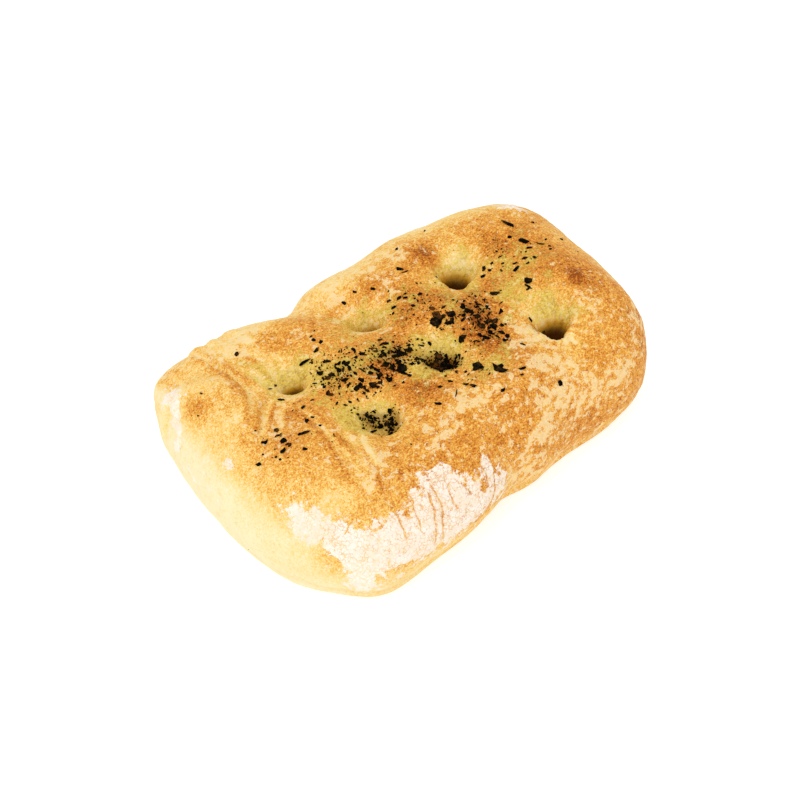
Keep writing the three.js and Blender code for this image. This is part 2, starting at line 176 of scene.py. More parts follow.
# Browner and paler patches, from left to right: (x, y, half-length, half-width, turn, amount).
BROWNED_PATCHES = [
    (-67, 11, 9, 9, 0, -0.06),
    (-66, 40, 3, 9, -12, -0.12),
    (-65.4, 23.6, 3.9, 5.2, 10, 0.3),
    (-64, -1, 4, 4, 0, 0.12),
    (-62, -38, 8, 5, 0, 0.26),
    (-59, 31, 8, 8, 0, -0.08),
    (-58, 32, 7, 7, 0, -0.06),
    (-58, -15, 10, 7, 0, 0.1),
    (-58, -33, 9, 7, 0, -0.26),
    (-56, -6, 6, 5, 0, 0.2),
    (-55, 13, 13, 3.5, 62, 0.08),
    (-53, 15, 9, 7, 0, -0.06),
    (-50, -22, 6, 10, 0, 0.06),
    (-47, 3, 9, 5, 50, 0.1),
    (-45, -36, 6, 5, 0, 0.06),
    (-36, 44, 20, 7, 0, -0.24),
    (-34, -3, 6, 8, 0, 0.12),
    (-30, 30, 14, 8, 0, 0.08),
    (-30, 5, 5, 8, 0, 0.1),
    (-28, -33, 15, 8, 0, 0.06),
    (-26, 40, 10, 6, 0, -0.14),
    (-25, -26, 6, 4, 0, -0.08),
    (-20, -3, 8, 4, 0, 0.12),
    (-17, -10, 5, 8, 0, 0.1),
    (-15, 3, 15, 7, 0, 0.16),
    (-10, -15, 9, 7, 0, 0.22),
    (-10, -24, 10, 5, 0, -0.04),
    (-8, -1, 8, 6, 0, 0.12),
    (-6, -16, 9, 6, 0, 0.1),
    (2, -28, 7, 5, 0, -0.1),
    (4, -37, 13, 6, 0, -0.02),
    (4, 12, 4, 4, 0, 0.16),
    (5, 27, 5, 3, 0, 0.12),
    (5, 44, 28, 7, 0, -0.26),
    (8, -25, 4, 4, 0, 0.14),
    (8, 37, 28, 8, 0, -0.18),
    (11, 14, 7, 5, 0, 0.16),
    (15, -12, 4, 6, 0, 0.12),
    (17, -20, 4, 5, 0, 0.16),
    (20, -6, 9, 10, 0, 0.26),
    (25, 5, 10, 6, 0, 0.16),
    (26.5, 26.5, 4.4, 5.6, 0, 0.4),
    (34, 18, 8, 8, 0, -0.06),
    (35, 2, 6, 5, 0, 0.12),
    (35, 20, 7, 7, 0, -0.2),
    (36, -28, 2, 2, 0, 0.14),
    (40, -38, 16, 7, 0, -0.06),
    (42, -13, 8, 7, 0, -0.12),
    (43, 16, 6, 5, 0, 0.14),
    (45, 39, 20, 7, -15, -0.34),
    (45, -35, 8, 5, 0, 0.08),
    (50, 10, 9, 9, 0, 0.1),
    (50, -6, 8, 8, 0, 0.1),
    (50, -24, 10, 5, 0, -0.08),
    (54.6, -13, 2.2, 3.2, 0, 0.36),
    (57, -12, 5, 8, 0, 0.1),
    (62, -20, 7, 12, 0, 0.1),
    (64, 30, 9, 9, 0, -0.14),
    (66, -34, 8, 8, 0, 0.08),
    (66, -22, 8, 9, 0, -0.06),
    (70, 2, 6, 28, 0, -0.14),
]
# The same on the walls: (x, y, z, reach along x, along y, up and down, amount).
BROWNED_ON_WALLS = [
    (-32, -50, 10, 34, 14, 9, -0.26),
    (-76, -40, 22, 8, 4, 8, 0.16),
    (-77, -14, 22, 8, 16, 8, 0.08),
]
# Where the oil has soaked in, the same way.
OILED_PATCHES = [
    (-45, 24, 4, 8, 0, 0.5),
    (-37, 16, 7, 7, 0, 0.45),
    (-36, -6, 3, 10, 0, 0.5),
    (-33, -12, 4, 6, 0, 0.4),
    (-28, 8, 8, 9, 0, 0.8),
    (-28, -16, 9, 7, -40, 0.65),
    (-14, 3, 10, 6, 0, 0.7),
    (-14, 20, 5, 8, 0, 0.3),
    (-7, -12, 6, 5, 0, 0.6),
    (-6, 20, 9, 8, 0, 0.45),
    (2, -8, 9, 7, -40, 1.1),
    (8, 15, 9, 6, 0, 0.45),
    (12, -24, 9, 5, 0, 0.75),
    (20, 2, 9, 7, 0, 0.45),
    (25, 14, 8, 8, 0, 0.3),
    (26, -12, 4, 3, 0, 0.5),
    (34, -4, 7, 7, 0, 0.55),
    (35, 19, 6, 6, 0, 0.5),
    (43, -13, 7, 7, 0, 0.55),
    (46, 5, 11, 9, 0, 0.62),
    (48, -22, 5, 4, 0, 0.3),
]
# Ragged cream patches, where a film of flour has baked on, the same way.
CREAM_PATCHES = [
    (-15.5, -34, 5.5, 1.8, 25, 1),
    (-5, -30.5, 7.5, 1.8, 3, 1),
    (-20, -32.5, 1, 4, 0, 0.8),
    (0.5, -34, 2.5, 3, 0, 0.8),
    (4, -33, 5, 3, 0, 0.6),
    (11, -32, 5, 2.2, 0, 0.6),
    (21, -23, 2.6, 4.2, 0, 0.9),
    (29.5, -21, 2.8, 7, 10, 1),
    (25, -32, 6, 3, 0, 1),
    (17, -38.5, 3, 2.4, 0, 0.8),
    (18.5, -34, 2, 3, 0, 0.8),
    (33, -37, 3.2, 3, 0, 0.8),
    (27, -38.5, 4, 2, 0, 0.8),
    (34.5, -22, 2, 3.5, 0, 0.8),
    (-41.5, -33, 4.4, 2.8, 0, 0.85),
    (-37, -27, 3, 3, 0, 0.7),
    (-50, 4, 7, 2, 55, 0.7),
    (5, 36, 4, 2.4, 0, 0.9),
    (9.5, 32.5, 3, 2.2, 0, 0.8),
    (15, 36, 3, 2, 0, 0.7),
    (20.5, 33, 2.4, 3, 0, 0.8),
    (-4.5, 36, 2.4, 4.4, 0, 0.8),
    (-38, 37, 3, 4.4, 0, 0.85),
    (-43.5, 34, 2.2, 3, 0, 0.8),
    (-49.5, 38, 1.6, 5, 0, 0.6),
    (8.5, 26, 2, 5.4, 0, 0.75),
    (-24, 24, 1.2, 2.6, 20, 0.8),
    (7.3, 12, 1.3, 2.2, 15, 1),
    (-7, 26.5, 5, 1.4, 15, 0.8),
    (51, -21, 5, 2.4, 25, 0.6),
    (57.5, -16, 0.7, 1.8, -20, 1),
    (54.4, -20.5, 1, 1, 0, 1),
    (53.2, -23.6, 1.4, 1.2, 0, 1),
    (35, -26.6, 4.5, 1, -39, 1),
    (-7.2, 13.6, 4, 0.8, -39, 1),
    (-40.2, 9.8, 4, 0.9, -39, 1),
    (25.5, 9.6, 3, 0.6, -39, 0.7),
]
# The same on the walls: (x, y, z, reach along x, along y, up and down, amount).
CREAM_ON_WALLS = [
    (13, -47, 30, 5, 6, 4, 0.8),
    (24, -46, 33, 5, 6, 4, 0.8),
    (38, -45, 29, 7, 6, 3, 0.75),
    (29, -48, 24, 3.5, 5, 4, 0.7),
    (3, -46, 36, 3, 5, 1.5, 0.7),
    (50, -42, 30, 5, 8, 5, 0.55),
    (64, -32, 33, 5, 6, 6, 0.5),
    (4, -51, 18, 12, 8, 9, 0.6),
    (-20, 48, 30, 14, 9, 7, 0.6),
    (10, 50, 28, 16, 8, 8, 0.6),
    (45, 46, 26, 14, 8, 7, 0.6),
    (-52, 50, 24, 12, 8, 8, 0.6),
]
# Thick flour, and gaps in it, on the walls: (x, y, z, reach along x, along y, up and down, amount).
FLOURED_PATCHES = [
    (-38, -51, 23, 19, 12, 10, 1.05),
    (-28, -46, 34, 7, 7, 5, 1),
    (-52, -48, 28, 8, 7, 6, 0.9),
    (-18, -50, 25, 8, 8, 7, 0.9),
    (-10, -48, 31, 1.6, 5, 5.5, 0.8),
    (-6, -51, 22, 4, 6, 6, 0.8),
    (-64, -34, 30, 6, 10, 7, 0.3),
    (-57, -45, 15, 5, 6, 9, 0.95),
    (-63, -31, 31, 5, 8, 5, 0.6),
    (-61, -40, 29, 5, 5, 6, 0.7),
    (-67, -27, 31, 4, 7, 4, 0.45),
    (-46, -41, 36, 6, 4, 3.5, -0.6),
    (-13.5, -50, 26.5, 1.8, 4, 2, -0.7),
    (-47, -50, 16.5, 7, 4, 2.5, -0.5),
    (-70, 40, 28, 4, 6, 4, 0.6),
    (-64, 44, 33, 3, 3, 3, 0.5),
    (-71, 2, 33, 2, 3, 2, 0.55),
    (-66, 36, 31, 2.4, 5, 4, 0.5),
    (-71.5, 27, 28, 2.4, 4, 5, 0.5),
    (-75, 10, 24, 5, 14, 9, 0.26),
    (-68, 38, 29.7, 4, 4, 1.5, 0.7),
    (-70, 33, 30, 4, 3.6, 1.5, 0.7),
    (-72, 27.6, 27.7, 4, 2.6, 1.9, 0.7),
    (-74, 23.4, 23.4, 4, 1.8, 2.8, 0.6),
    (63, 27, 38, 5, 6, 5, 0.7),
    (62, 34, 28, 10, 8, 9, 0.6),
]
# Cracks in the floured wall, each as its points (x, z) seen from the front.
CRACKS = [
    ((-43.6, 35.4), (-43, 32.6), (-43.8, 26)),
    ((-36.7, 34.4), (-37.7, 31.6), (-38.5, 26)),
    ((-31.7, 33.5), (-33, 27), (-34.4, 19)),
    ((-29.7, 34.6), (-29.3, 30.3), (-30.3, 26.3), (-31.8, 18.5)),
    ((-20.5, 31.8), (-18.5, 27.3)),
    ((-12.8, 34.4), (-11.1, 29.5), (-11.5, 25.7)),
    ((-8.3, 27.5), (-8.9, 23.5), (-10.5, 19.1)),
    ((-53.2, 32.2), (-51.8, 30.3), (-49.2, 30.7)),
    ((-25, 33), (-25.5, 29), (-24.5, 26)),
]
CRACK_WIDTH = 0.6
CRACK_DEPTH = 0.35
# The crease that sets off the knob at the left end, as its points (y, z) seen from the left.
KNOB_CREASE = ((48.4, 26.1), (42.2, 28.6), (36.6, 29.2), (33.4, 25.7), (32, 21))
KNOB_CREASE_WIDTH = 1.3
KNOB_CREASE_DEPTH = 1.3

# Pleats in the skin: (x, y, reach, reach across, direction of the lines, their spacing, height).
PLEATS = [
    (-54, 13, 14, 8, 60, 2.4, 0.34),
    (-42, 28, 8, 7, 96, 2.6, 0.24),
    (-43, -22, 9, 7, 88, 2.6, 0.22),
    (-33, -28, 8, 5, -42, 3, 0.2),
    (-15, 31, 10, 5, 58, 2.6, 0.26),
    (-49, 4, 8, 5, 52, 2, 0.22),
    (-64, 40, 8, 6, 70, 2.4, 0.25),
]
# Seams where the skin folded, seen from above: (points, width, browning, height).
SEAMS = [
    (((-53, 44), (-52.4, 32), (-52, 23), (-53.4, 16), (-58.2, 8.5), (-63.4, 2.5)), 1.4, 0.22, 0.6),
    (((-51.4, 44), (-50.8, 32), (-50, 23), (-51.4, 16), (-56, 9)), 1, -0.2, -0.5),
    (
        ((-49.8, 46), (-50.2, 35), (-48.4, 24.5), (-45.6, 17), (-50, 13), (-55, 7), (-59.6, 2.7)),
        1, 0.16, 0.4,
    ),
    (((-46, 38), (-46, 26), (-43, 18)), 1.1, -0.16, -0.3),
    (((-42.2, 30.4), (-42, 22.5), (-40.8, 18)), 0.9, 0.12, 0.3),
    (((-37.4, 37), (-39.7, 28.4), (-39.6, 20)), 1.2, -0.14, 0.3),
    (((-46, 13), (-51.5, 8), (-58, 1.5)), 0.8, -0.2, -0.3),
    (((-44, 12.5), (-49.4, 7.5), (-56, 1)), 0.7, 0.18, 0.3),
    (((-42.5, 11), (-47, 6), (-52, -1)), 0.8, -0.14, 0.3),
    (((-43.6, 3), (-46.2, -15.5), (-49, -30.6)), 1.1, 0.16, 0.25),
    (((-42, 3), (-43.6, -9), (-44.4, -25), (-45.8, -36)), 0.8, -0.16, -0.2),
    (((-40.4, 0), (-41.6, -10), (-42.4, -24)), 0.7, 0.14, 0.2),
    (((-33.5, -5), (-36.7, -15), (-41, -31), (-43, -38)), 1.2, 0.12, 0.25),
    (((-36, -4), (-38.6, -15), (-42, -30)), 1.2, -0.12, -0.2),
    (((-35, -17), (-37.4, -24), (-38.6, -30)), 1.1, -0.4, 0.2),
    (((-31, -22), (-32, -30), (-35, -37)), 0.8, 0.14, 0.2),
    (((2, 8), (9, 11), (16, 10), (22, 6)), 1, 0.1, 0.2),
    (((23, 5), (28, -3), (33, -12)), 0.8, 0.12, 0.2),
    (((28, 3), (32, -6), (35, -14)), 0.8, -0.14, 0.15),
    (((19, 15), (22, 8), (24, 2)), 0.7, -0.12, 0.15),
]
# Blisters: (x, y, radius, height).
BLISTERS = [
    (55, -12.5, 3, 0.9),
    (54.4, -20.5, 1.1, 0.6),
    (53.2, -23.6, 1.4, 0.7),
    (36, 20, 1.7, 0.35),
    (14.5, 18, 1.4, 0.3),
    (26, 26, 4.5, 0.5),
    (57.4, -16.5, 1.2, 0.5),
    (-65.4, 23.6, 4.5, 0.3),
    (7.5, 12, 1.8, 0.35),
    (-21, 7.5, 2, 0.5),
    (-49.5, 47, 3, 1.2),
    (-44.6, 45, 2.4, 1.1),
    (-38, 44.5, 3.2, 1),
    (62, 26, 5, 1.1),
    (-70, 36, 7, 0.8),
]

# Heights of the low relief. The skin's cells have their height among the settings.
BROAD_LUMPS = 0.4
SMALL_LUMPS = 0.14
SKIN_CELL_SIZE = 2.4
FLOUR_THICKNESS = 0.15
FOOT_FOLD_HEIGHT = 0.4
CREASE_HEIGHT = 0.3
CREASE_RING = 1.3  # creases into a dimple are strongest at this share of its hole's half-length
CREASE_REACH = 4

# How strongly the pleats, and the creases into the dimples, show in the finish.
PLEATS_SHOW = 1.4
CREASES_SHOW = 0.7
# How much each thing adds to the browning, the oil and the cream film, which go from 0 to 1.
BROWNER_LINES = 0.7
BROWNER_KNOB_CREASE = 0.16
PALER_LEFT_WALL = 0.21
PALER_FOOT = 0.2
PALER_FUNNELS = 0.3
OILY_FUNNELS = 0.5
CREAM_BASE = 0.16
CREAM_ON_TOP = 0.9
CREAM_ON_OVERHANG = 0.2
LESS_CREAM_ON_LINES = 0.4
LESS_CREAM_ON_LEFT_WALL = 0.5
CREAM_SPREAD = 0.62  # cream patches are wider than their half-sizes by one over this
STAINING_HERBS = 10  # density of herbs under which the crust is stained fully

# ---- herbs ----

# Flakes that are told apart in the photo: (x, y, length, width, turn).
LARGE_FLAKES = [
    (-11, -7, 5, 3.6, -70), (7.5, -21.5, 5.4, 3.8, -35), (11.5, -27.5, 5.6, 2.9, -72),
    (55, 19.5, 5, 1.9, -80), (53.5, 9.5, 4.1, 1.8, -65), (9.5, 1, 4.4, 3, -50),
    (-30, 16.5, 4.4, 1.8, -20), (15, 0, 3.4, 2.8, -30), (19.5, -2.5, 3.6, 2.6, -40),
    (19.5, -10, 3.6, 2.6, -60), (-6.5, -2, 3.4, 2.2, -20), (43, -4.5, 3, 2.7, -80),
    (12, -9, 3, 2.7, 20), (-49, -8, 3.8, 1.3, -40), (-55.5, -5.5, 2.8, 2.2, -60),
    (-57.5, -9, 2.8, 2.4, -40), (-26.5, 1, 3.2, 2, -20), (-21, -6, 3, 2.2, -30),
    (11.5, 3, 3, 2.6, -70), (23.5, -10.5, 3, 1.8, -30), (22.5, -15.5, 2.8, 1.6, -60),
    (17.5, -14.5, 3, 1.8, -40), (32, -1.5, 3, 1.8, -30), (-11.5, 1, 3, 2, 80),
    (-25, 11, 3, 1.6, -40), (15.5, 26, 3, 1.6, -60), (12.5, -2, 2.6, 1.8, -40),
    (12, 6, 2.6, 1.6, -80), (-25, -3.5, 2.4, 1.9, -45), (-17, 8.5, 2.6, 1.4, 80),
    (-16.5, 4.5, 2.6, 1.6, -60), (-29.5, 9.5, 2.4, 1.6, -60), (43.5, 2, 2.3, 2, 0),
    (-53.5, 0, 2.3, 1.9, -80), (-64.5, -5.5, 2, 1.8, 0), (48, 3.5, 2.2, 1.3, -20),
    (52.5, 6, 2.4, 1.1, -45), (-25, 17, 2.2, 1.5, 10), (-43.5, 11, 3.2, 1.1, -40),
    (5, 15.5, 2.2, 1, -10), (-32.5, 0, 2.5, 1, -45), (1, -27, 2.2, 1.4, -50),
    (0, -24.5, 2, 1.3, -60), (-11, -25, 2.2, 1.2, -50), (17, -31.5, 2.5, 1.2, -10),
    (24.5, -2, 2.2, 1, -40), (41.5, -6, 3, 0.9, -70), (-17, -3, 2.2, 1.2, -60),
]
# Smaller ones, the same way.
SMALL_FLAKES = [
    (36.4, -20.6, 1.6, 1, -60), (-44, 33.5, 1.6, 1.5, 0), (-61.7, 26.5, 1.4, 0.9, -60),
    (-4.3, 29.5, 1.8, 1.1, -50), (0.3, 29.5, 1.6, 0.8, -50), (21.5, 35.5, 1.8, 1.2, 50),
    (5, 26, 1.8, 1.4, -60), (-8, 7, 2.2, 1.4, 0), (-8.5, 5.2, 1.6, 0.9, 0),
    (-23, 21, 1.6, 1.1, -60), (-23, 22.8, 1.2, 0.9, 0), (-21.5, 19, 1.8, 1.4, -60),
    (-41, 17, 1.6, 0.8, -30), (42, 7, 1.2, 0.9, 0), (44, 9.8, 2, 0.7, 0), (40, 10, 1.6, 0.8, 20),
    (35.2, 8, 1.7, 1.2, -10), (40, 5.5, 1.4, 0.9, 80), (24, -7, 2.2, 1, 20),
    (28, -8.5, 1.7, 1.4, 40), (21.5, -19, 1.6, 1, -30), (25.5, -13.5, 1.3, 0.8, 0),
    (7, -34, 1.8, 1.2, 0), (26.3, -39, 2.2, 1.8, 0), (34.5, -15, 2, 1.1, -60),
    (37, -18.5, 1.5, 0.8, 0), (15.5, -33, 1.6, 0.8, -20), (24.3, -23.5, 2, 1, -60),
    (-53, -14, 1.6, 1.3, -30), (-55, -8.7, 1.5, 1, 0), (-59.5, -0.8, 1.5, 1.1, 0),
    (-42.8, -4, 1.7, 0.8, -60), (-32, -6.3, 1.4, 0.7, -30), (-16.8, -2.5, 2.4, 1.2, -60),
    (-9, -1.5, 2, 1.3, 0), (57.2, 1.7, 1.2, 0.9, 0), (51.2, 14, 1.4, 1, -60),
    (63, 16, 1.3, 0.8, -60), (66, 5.5, 1.4, 0.8, -50), (35, 37.5, 1.8, 0.5, 40),
    (14, 14, 1.8, 1.4, -60), (3, 13.8, 1.5, 0.9, 0), (10.5, 17, 1.6, 0.8, 0),
    (27.4, 12.4, 3, 2.4, -40), (47, 0.8, 1.2, 1, 0), (41, -7, 1.5, 0.9, 0),
]
# Thin slivers, the same way.
SLIVERS = [
    (-5, -26, 4.2, 0.6, 42), (27.5, -1.5, 3.4, 0.6, 50), (57, 5, 4, 0.5, -45),
    (-42.5, -14.5, 2, 0.5, 60), (-43.8, 16.3, 2.4, 0.6, 0), (16, 24.5, 3, 0.6, -20),
    (-20.5, 0, 3.4, 0.6, -75), (20, 3, 2.6, 0.5, 30), (-33, 7.5, 2.4, 0.5, -60),
    (30, -6, 2.2, 0.5, 10), (-38, 2.5, 1.8, 0.5, -40), (8, -13, 2.6, 0.5, 30),
    (-20, 11, 2.6, 0.5, 50), (-12, 3.5, 2.6, 0.6, 60), (22, -12, 2.8, 0.6, 60),
    (14, -12.5, 2.2, 0.5, -20),
]
FLAKE_GROWTH = 1.18  # the flakes are made larger than they are listed, by these
SMALL_FLAKE_GROWTH = 1.2
# Where crumbled herbs lie: (x, y, half-length, half-width, turn, density). The last is the whole top.
HERB_PATCHES = [
    (2.2, -11.2, 3.9, 2.9, -40, 70),
    (-2, -4, 8, 4.5, -30, 4),
    (-26.4, -13.6, 4.6, 1.8, -40, 18),
    (-23, -18.4, 1.8, 3.2, -40, 16),
    (-28.8, -18.6, 3.6, 1.6, -40, 16),
    (-20, 3, 11, 7, -20, 4),
    (-27, 5, 5, 8, 0, 3),
    (-8, 0, 6, 4, 0, 4.5),
    (14, -1, 8, 4, -20, 3.6),
    (21, -6, 4, 8, 0, 5.5),
    (19, -13, 7, 4, 0, 3.6),
    (12, 8, 6, 4, 0, 3),
    (5, -20, 7, 6, 0, 1.6),
    (-14, -5, 8, 4, 0, 4),
    (44, 12, 7, 4, 0, 1),
    (47, 5, 8, 6, 0, 0.5),
    (-57, -5, 6, 5, 0, 0.8),
    (10, 17, 7, 3, 0, 1),
    (27, -1, 5, 4, 0, 2.4),
    (-43, -5, 4, 9, 0, 0.35),
    (0, 0, 46, 26, 0, 0.1),
]

# ---- repeatable noise, worked out for whole arrays of points ----


def lattice_draw(cell, seed):
    """A repeatable draw from 0 to 1 for each whole-number lattice point: a mix of its bits."""
    low_bits = np.uint64(0xFFFFFFFF)
    cell = cell.astype(np.int64).astype(np.uint64)
    mixed = cell[..., 0] * np.uint64(73856093) ^ cell[..., 1] * np.uint64(19349663)
    mixed = mixed ^ cell[..., 2] * np.uint64(83492791) ^ np.uint64(seed * 2654435761 % 2**32)
    for shift, factor in ((15, 0x2C1B3C6D), (12, 0x297A2D39)):
        mixed = (mixed & low_bits) * np.uint64(factor)
        mixed = (mixed & low_bits) ^ (mixed & low_bits) >> np.uint64(shift)
    return (mixed & np.uint64(0xFFFFFF)).astype(float) / 0xFFFFFF


def lattice_draws(cell, seed):
    """Three such draws for each lattice point, one for each axis."""
    return np.stack([lattice_draw(cell, seed * 3 + axis) for axis in range(3)], -1)


def smooth_noise(points, size, seed):
    """Gradient noise from about -1 to 1: at each corner of the lattice cell round a point, a random
    slope times the offset from that corner, blended by 6t^5 - 15t^4 + 10t^3 along each axis."""
    place = points / size
    cell = np.floor(place)
    inside = place - cell
    blend = inside**3 * (inside * (inside * 6 - 15) + 10)
    total = np.zeros(points.shape[:-1])
    for corner in np.ndindex(2, 2, 2):
        offset = np.array(corner)
        slopes = lattice_draws(cell + offset, seed) * 2 - 1
        weight = np.prod(np.where(offset == 1, blend, 1 - blend), axis=-1)
        total += weight * np.sum(slopes * (inside - offset), axis=-1)
    return 1.6 * total


def layered_noise(points, size, seed, layers):
    """Sum of smooth noises, each half the size and strength of the one before, over the root of the
    sum of the squares of their strengths."""
    strengths = 0.5 ** np.arange(layers)
    total = np.zeros(points.shape[:-1])
    for layer, strength in enumerate(strengths):
        total += strength * smooth_noise(points, size / 2**layer, seed + 17 * layer)
    return total / np.sqrt(np.sum(strengths**2))


def cell_edges(points, size, seed):
    """Distance to the second nearest minus distance to the nearest of one random point per lattice
    cell, as a share of the cell's size: 0 on the edges of a cracked-mud pattern."""
    place = points / size
    cell = np.floor(place)
    nearest = np.full(points.shape[:-1], 9.0)
    second = nearest.copy()
    for offset in np.ndindex(3, 3, 3):
        other = cell + np.array(offset) - 1
        distance = np.linalg.norm(place - other - lattice_draws(other, seed), axis=-1)
        second = np.minimum(second, np.maximum(nearest, distance))
        nearest = np.minimum(nearest, distance)
    return second - nearest


def smooth_step(value, low, high):
    """0 below low, 1 above high, and 3q^2 - 2q^3 between, for the share q of the way."""
    share = np.clip((value - low) / (high - low), 0, 1)
    return share * share * (3 - 2 * share)


def bell(value):
    """exp(-value^2)."""
    return np.exp(-(value**2))


def turned_offset(x, y, centre_x, centre_y, turn):
    """The offset from a centre, along and across a direction in degrees."""
    cos, sin = np.cos(np.radians(turn)), np.sin(np.radians(turn))
    dx, dy = x - centre_x, y - centre_y
    return dx * cos + dy * sin, dy * cos - dx * sin


def patch_bells(x, y, patches, spread=1):
    """For each turned ellipse seen from above, its amount times a bell of spread times the share of
    its half-sizes."""
    for centre_x, centre_y, half_length, half_width, turn, amount in patches:
        along, across = turned_offset(x, y, centre_x, centre_y, turn)
        yield amount * bell(spread * np.hypot(along / half_length, across / half_width))


def patch_sum(x, y, patches):
    """The sum of the patches' bells."""
    return sum(patch_bells(x, y, patches))


def patch_cover(x, y, patches):
    """The highest of the patches' bells."""
    return reduce(np.maximum, patch_bells(x, y, patches, CREAM_SPREAD))


def blob_sum(x, y, z, blobs):
    """Sum of bells over ellipsoids, each times its amount."""
    total = np.zeros(x.shape)
    for centre_x, centre_y, centre_z, rx, ry, rz, amount in blobs:
        away = ((x - centre_x) / rx) ** 2 + ((y - centre_y) / ry) ** 2 + ((z - centre_z) / rz) ** 2
        total += amount * np.exp(-away)
    return total


# ---- the loaf's form ----


def outline_radius(angle):
    """Superellipse (|cos/a|^n + |sin/b|^n)^(-1/n); b shrinks and n grows towards the right end."""
    cos, sin = np.cos(angle), np.sin(angle)
    right = 1 / (1 + np.exp(-6 * cos))
    power = SQUARENESS_LEFT * (1 - right) + SQUARENESS_RIGHT * right
    half_width = HALF_WIDTH * (1 - NARROWING * cos)
    return (np.abs(cos / HALF_LENGTH) ** power + np.abs(sin / half_width) ** power) ** (-1 / power)


def outline_bump(angle, height):
    """Sum over the swellings of reach times a bell of the direction times a bell of the height."""
    total = np.zeros(angle.shape)
    for direction, spread, middle, tall, reach in OUTLINE_BUMPS.values():
        gap = (np.degrees(angle) - direction + 180) % 360 - 180
        total += reach * bell(gap / spread) * bell((height - middle) / tall)
    return total


def distance_to_line(x, y, from_x, from_y, to_x, to_y):
    """Distance from each point to a straight piece of line."""
    dx, dy = to_x - from_x, to_y - from_y
    share = np.clip(((x - from_x) * dx + (y - from_y) * dy) / (dx * dx + dy * dy), 0, 1)
    return np.hypot(x - from_x - share * dx, y - from_y - share * dy)


def distance_to_path(x, y, path):
    """The least distance from each point to the straight pieces between a path's points."""
    return reduce(np.minimum, [distance_to_line(x, y, *a, *b) for a, b in zip(path[:-1], path[1:])])


def top_height(x, y, edge, hole_share):
    """A sloped plane, plus a crown 1 - edge^2, the cushion's step and the mounds, less the folds and
    the dimples; a dimple is a steep hole exp(-q^2.6) in a wide funnel exp(-q^2)."""
    height = HEIGHT + RISE_TO_RIGHT * x / HALF_LENGTH + FALL_TO_BACK * y / 50 + CROWN * (1 - edge**2)
    from_cushion = np.hypot((x - CUSHION["x"]) / CUSHION["rx"], (y - CUSHION["y"]) / CUSHION["ry"])
    height += CUSHION["rise"] * smooth_step(-from_cushion, -CUSHION["outer"], -CUSHION["inner"])
    for mound_x, mound_y, rx, ry, rise in MOUNDS:
        height += rise * bell((x - mound_x) / rx) * bell((y - mound_y) / ry)
    for *ends, width, depth in FOLDS:
        height -= depth * bell(distance_to_line(x, y, *ends) / width)
    for dimple in DIMPLES.values():
        along, across = turned_offset(x, y, dimple.x, dimple.y, dimple.turn)
        q = np.hypot(along / dimple.half_length, across / dimple.half_width)
        funnel = bell(np.hypot(along, across) / dimple.funnel)
        height -= dimple.depth * (hole_share * np.exp(-(q**HOLE_STEEPNESS)) + FUNNEL_SHARE * funnel)
    return height


def draw_in(x, y, pinch, reach=None):
    """Moves points towards each dimple near them by a share that falls off as a bell of the distance
    over a reach, which is the dimple's own where none is given."""
    drawn_x, drawn_y = x.copy(), y.copy()
    for dimple in DIMPLES.values():
        dx, dy = x - dimple.x, y - dimple.y
        pull = pinch * bell(np.hypot(dx, dy) / (reach or PINCH_REACH * dimple.funnel))
        drawn_x -= dx * pull
        drawn_y -= dy * pull
    return drawn_x, drawn_y


def tuck_foot(points):
    """Draws the foot in under the front by a bell of the direction times a bell of the height."""
    angle = np.degrees(np.arctan2(points[:, 1], points[:, 0]))
    pull = FOOT_PULL["reach"] * bell((angle - FOOT_PULL["direction"]) / FOOT_PULL["spread"])
    pull *= bell((points[:, 2] - FOOT_PULL["height"]) / FOOT_PULL["tall"])
    pull *= points[:, 2] < WIDEST_HEIGHT
    outwards = points * (1, 1, 0) / np.maximum(np.hypot(*points[:, :2].T), 1)[:, None]
    return points - pull[:, None] * outwards


def pit_core(x, y, pit, turn):
    """exp(-q^p) of the distance q from a pit's middle, over its half-sizes: from the steep side to
    the far side the half-sizes grow by the stretch and p goes to the far steepness."""
    dx, dy = x - pit.x, y - pit.y
    towards_steep, _ = turned_offset(dx, dy, 0, 0, pit.steep_side)
    far = smooth_step(-towards_steep / np.maximum(np.hypot(dx, dy), 1e-6), -0.3, 1)
    along, across = turned_offset(dx, dy, 0, 0, turn)
    q = np.hypot(along / pit.half_length, across / pit.half_width) / (1 + pit.stretch * far)
    return np.exp(-(q ** (PIT_STEEPNESS + (pit.far_steepness - PIT_STEEPNESS) * far)))


def press_pits(points):
    """Pushes each pit's core down by its depth and sideways by its lean. Returns the points and, for
    each, the greatest of the pits' oil tint and painted shade times a step over their cores, darker
    the deeper the point lies in a pit."""
    x, y = points[:, 0].copy(), points[:, 1].copy()
    inside = np.zeros(len(points))
    for name, pit in PITS.items():
        core = pit_core(x, y, pit, DIMPLES[name].turn) * (points[:, 2] > WIDEST_HEIGHT)
        side = np.radians(pit.steep_side)
        points = points + core[:, None] * (pit.lean * np.cos(side), pit.lean * np.sin(side), -pit.depth)
        # oil tint and painted shade, darker the deeper the point lies in the pit's core
        inside = np.maximum(inside, pit.darkness * smooth_step(core, PIT_SHADE_FROM, PIT_SHADE_AT))
    return points, inside


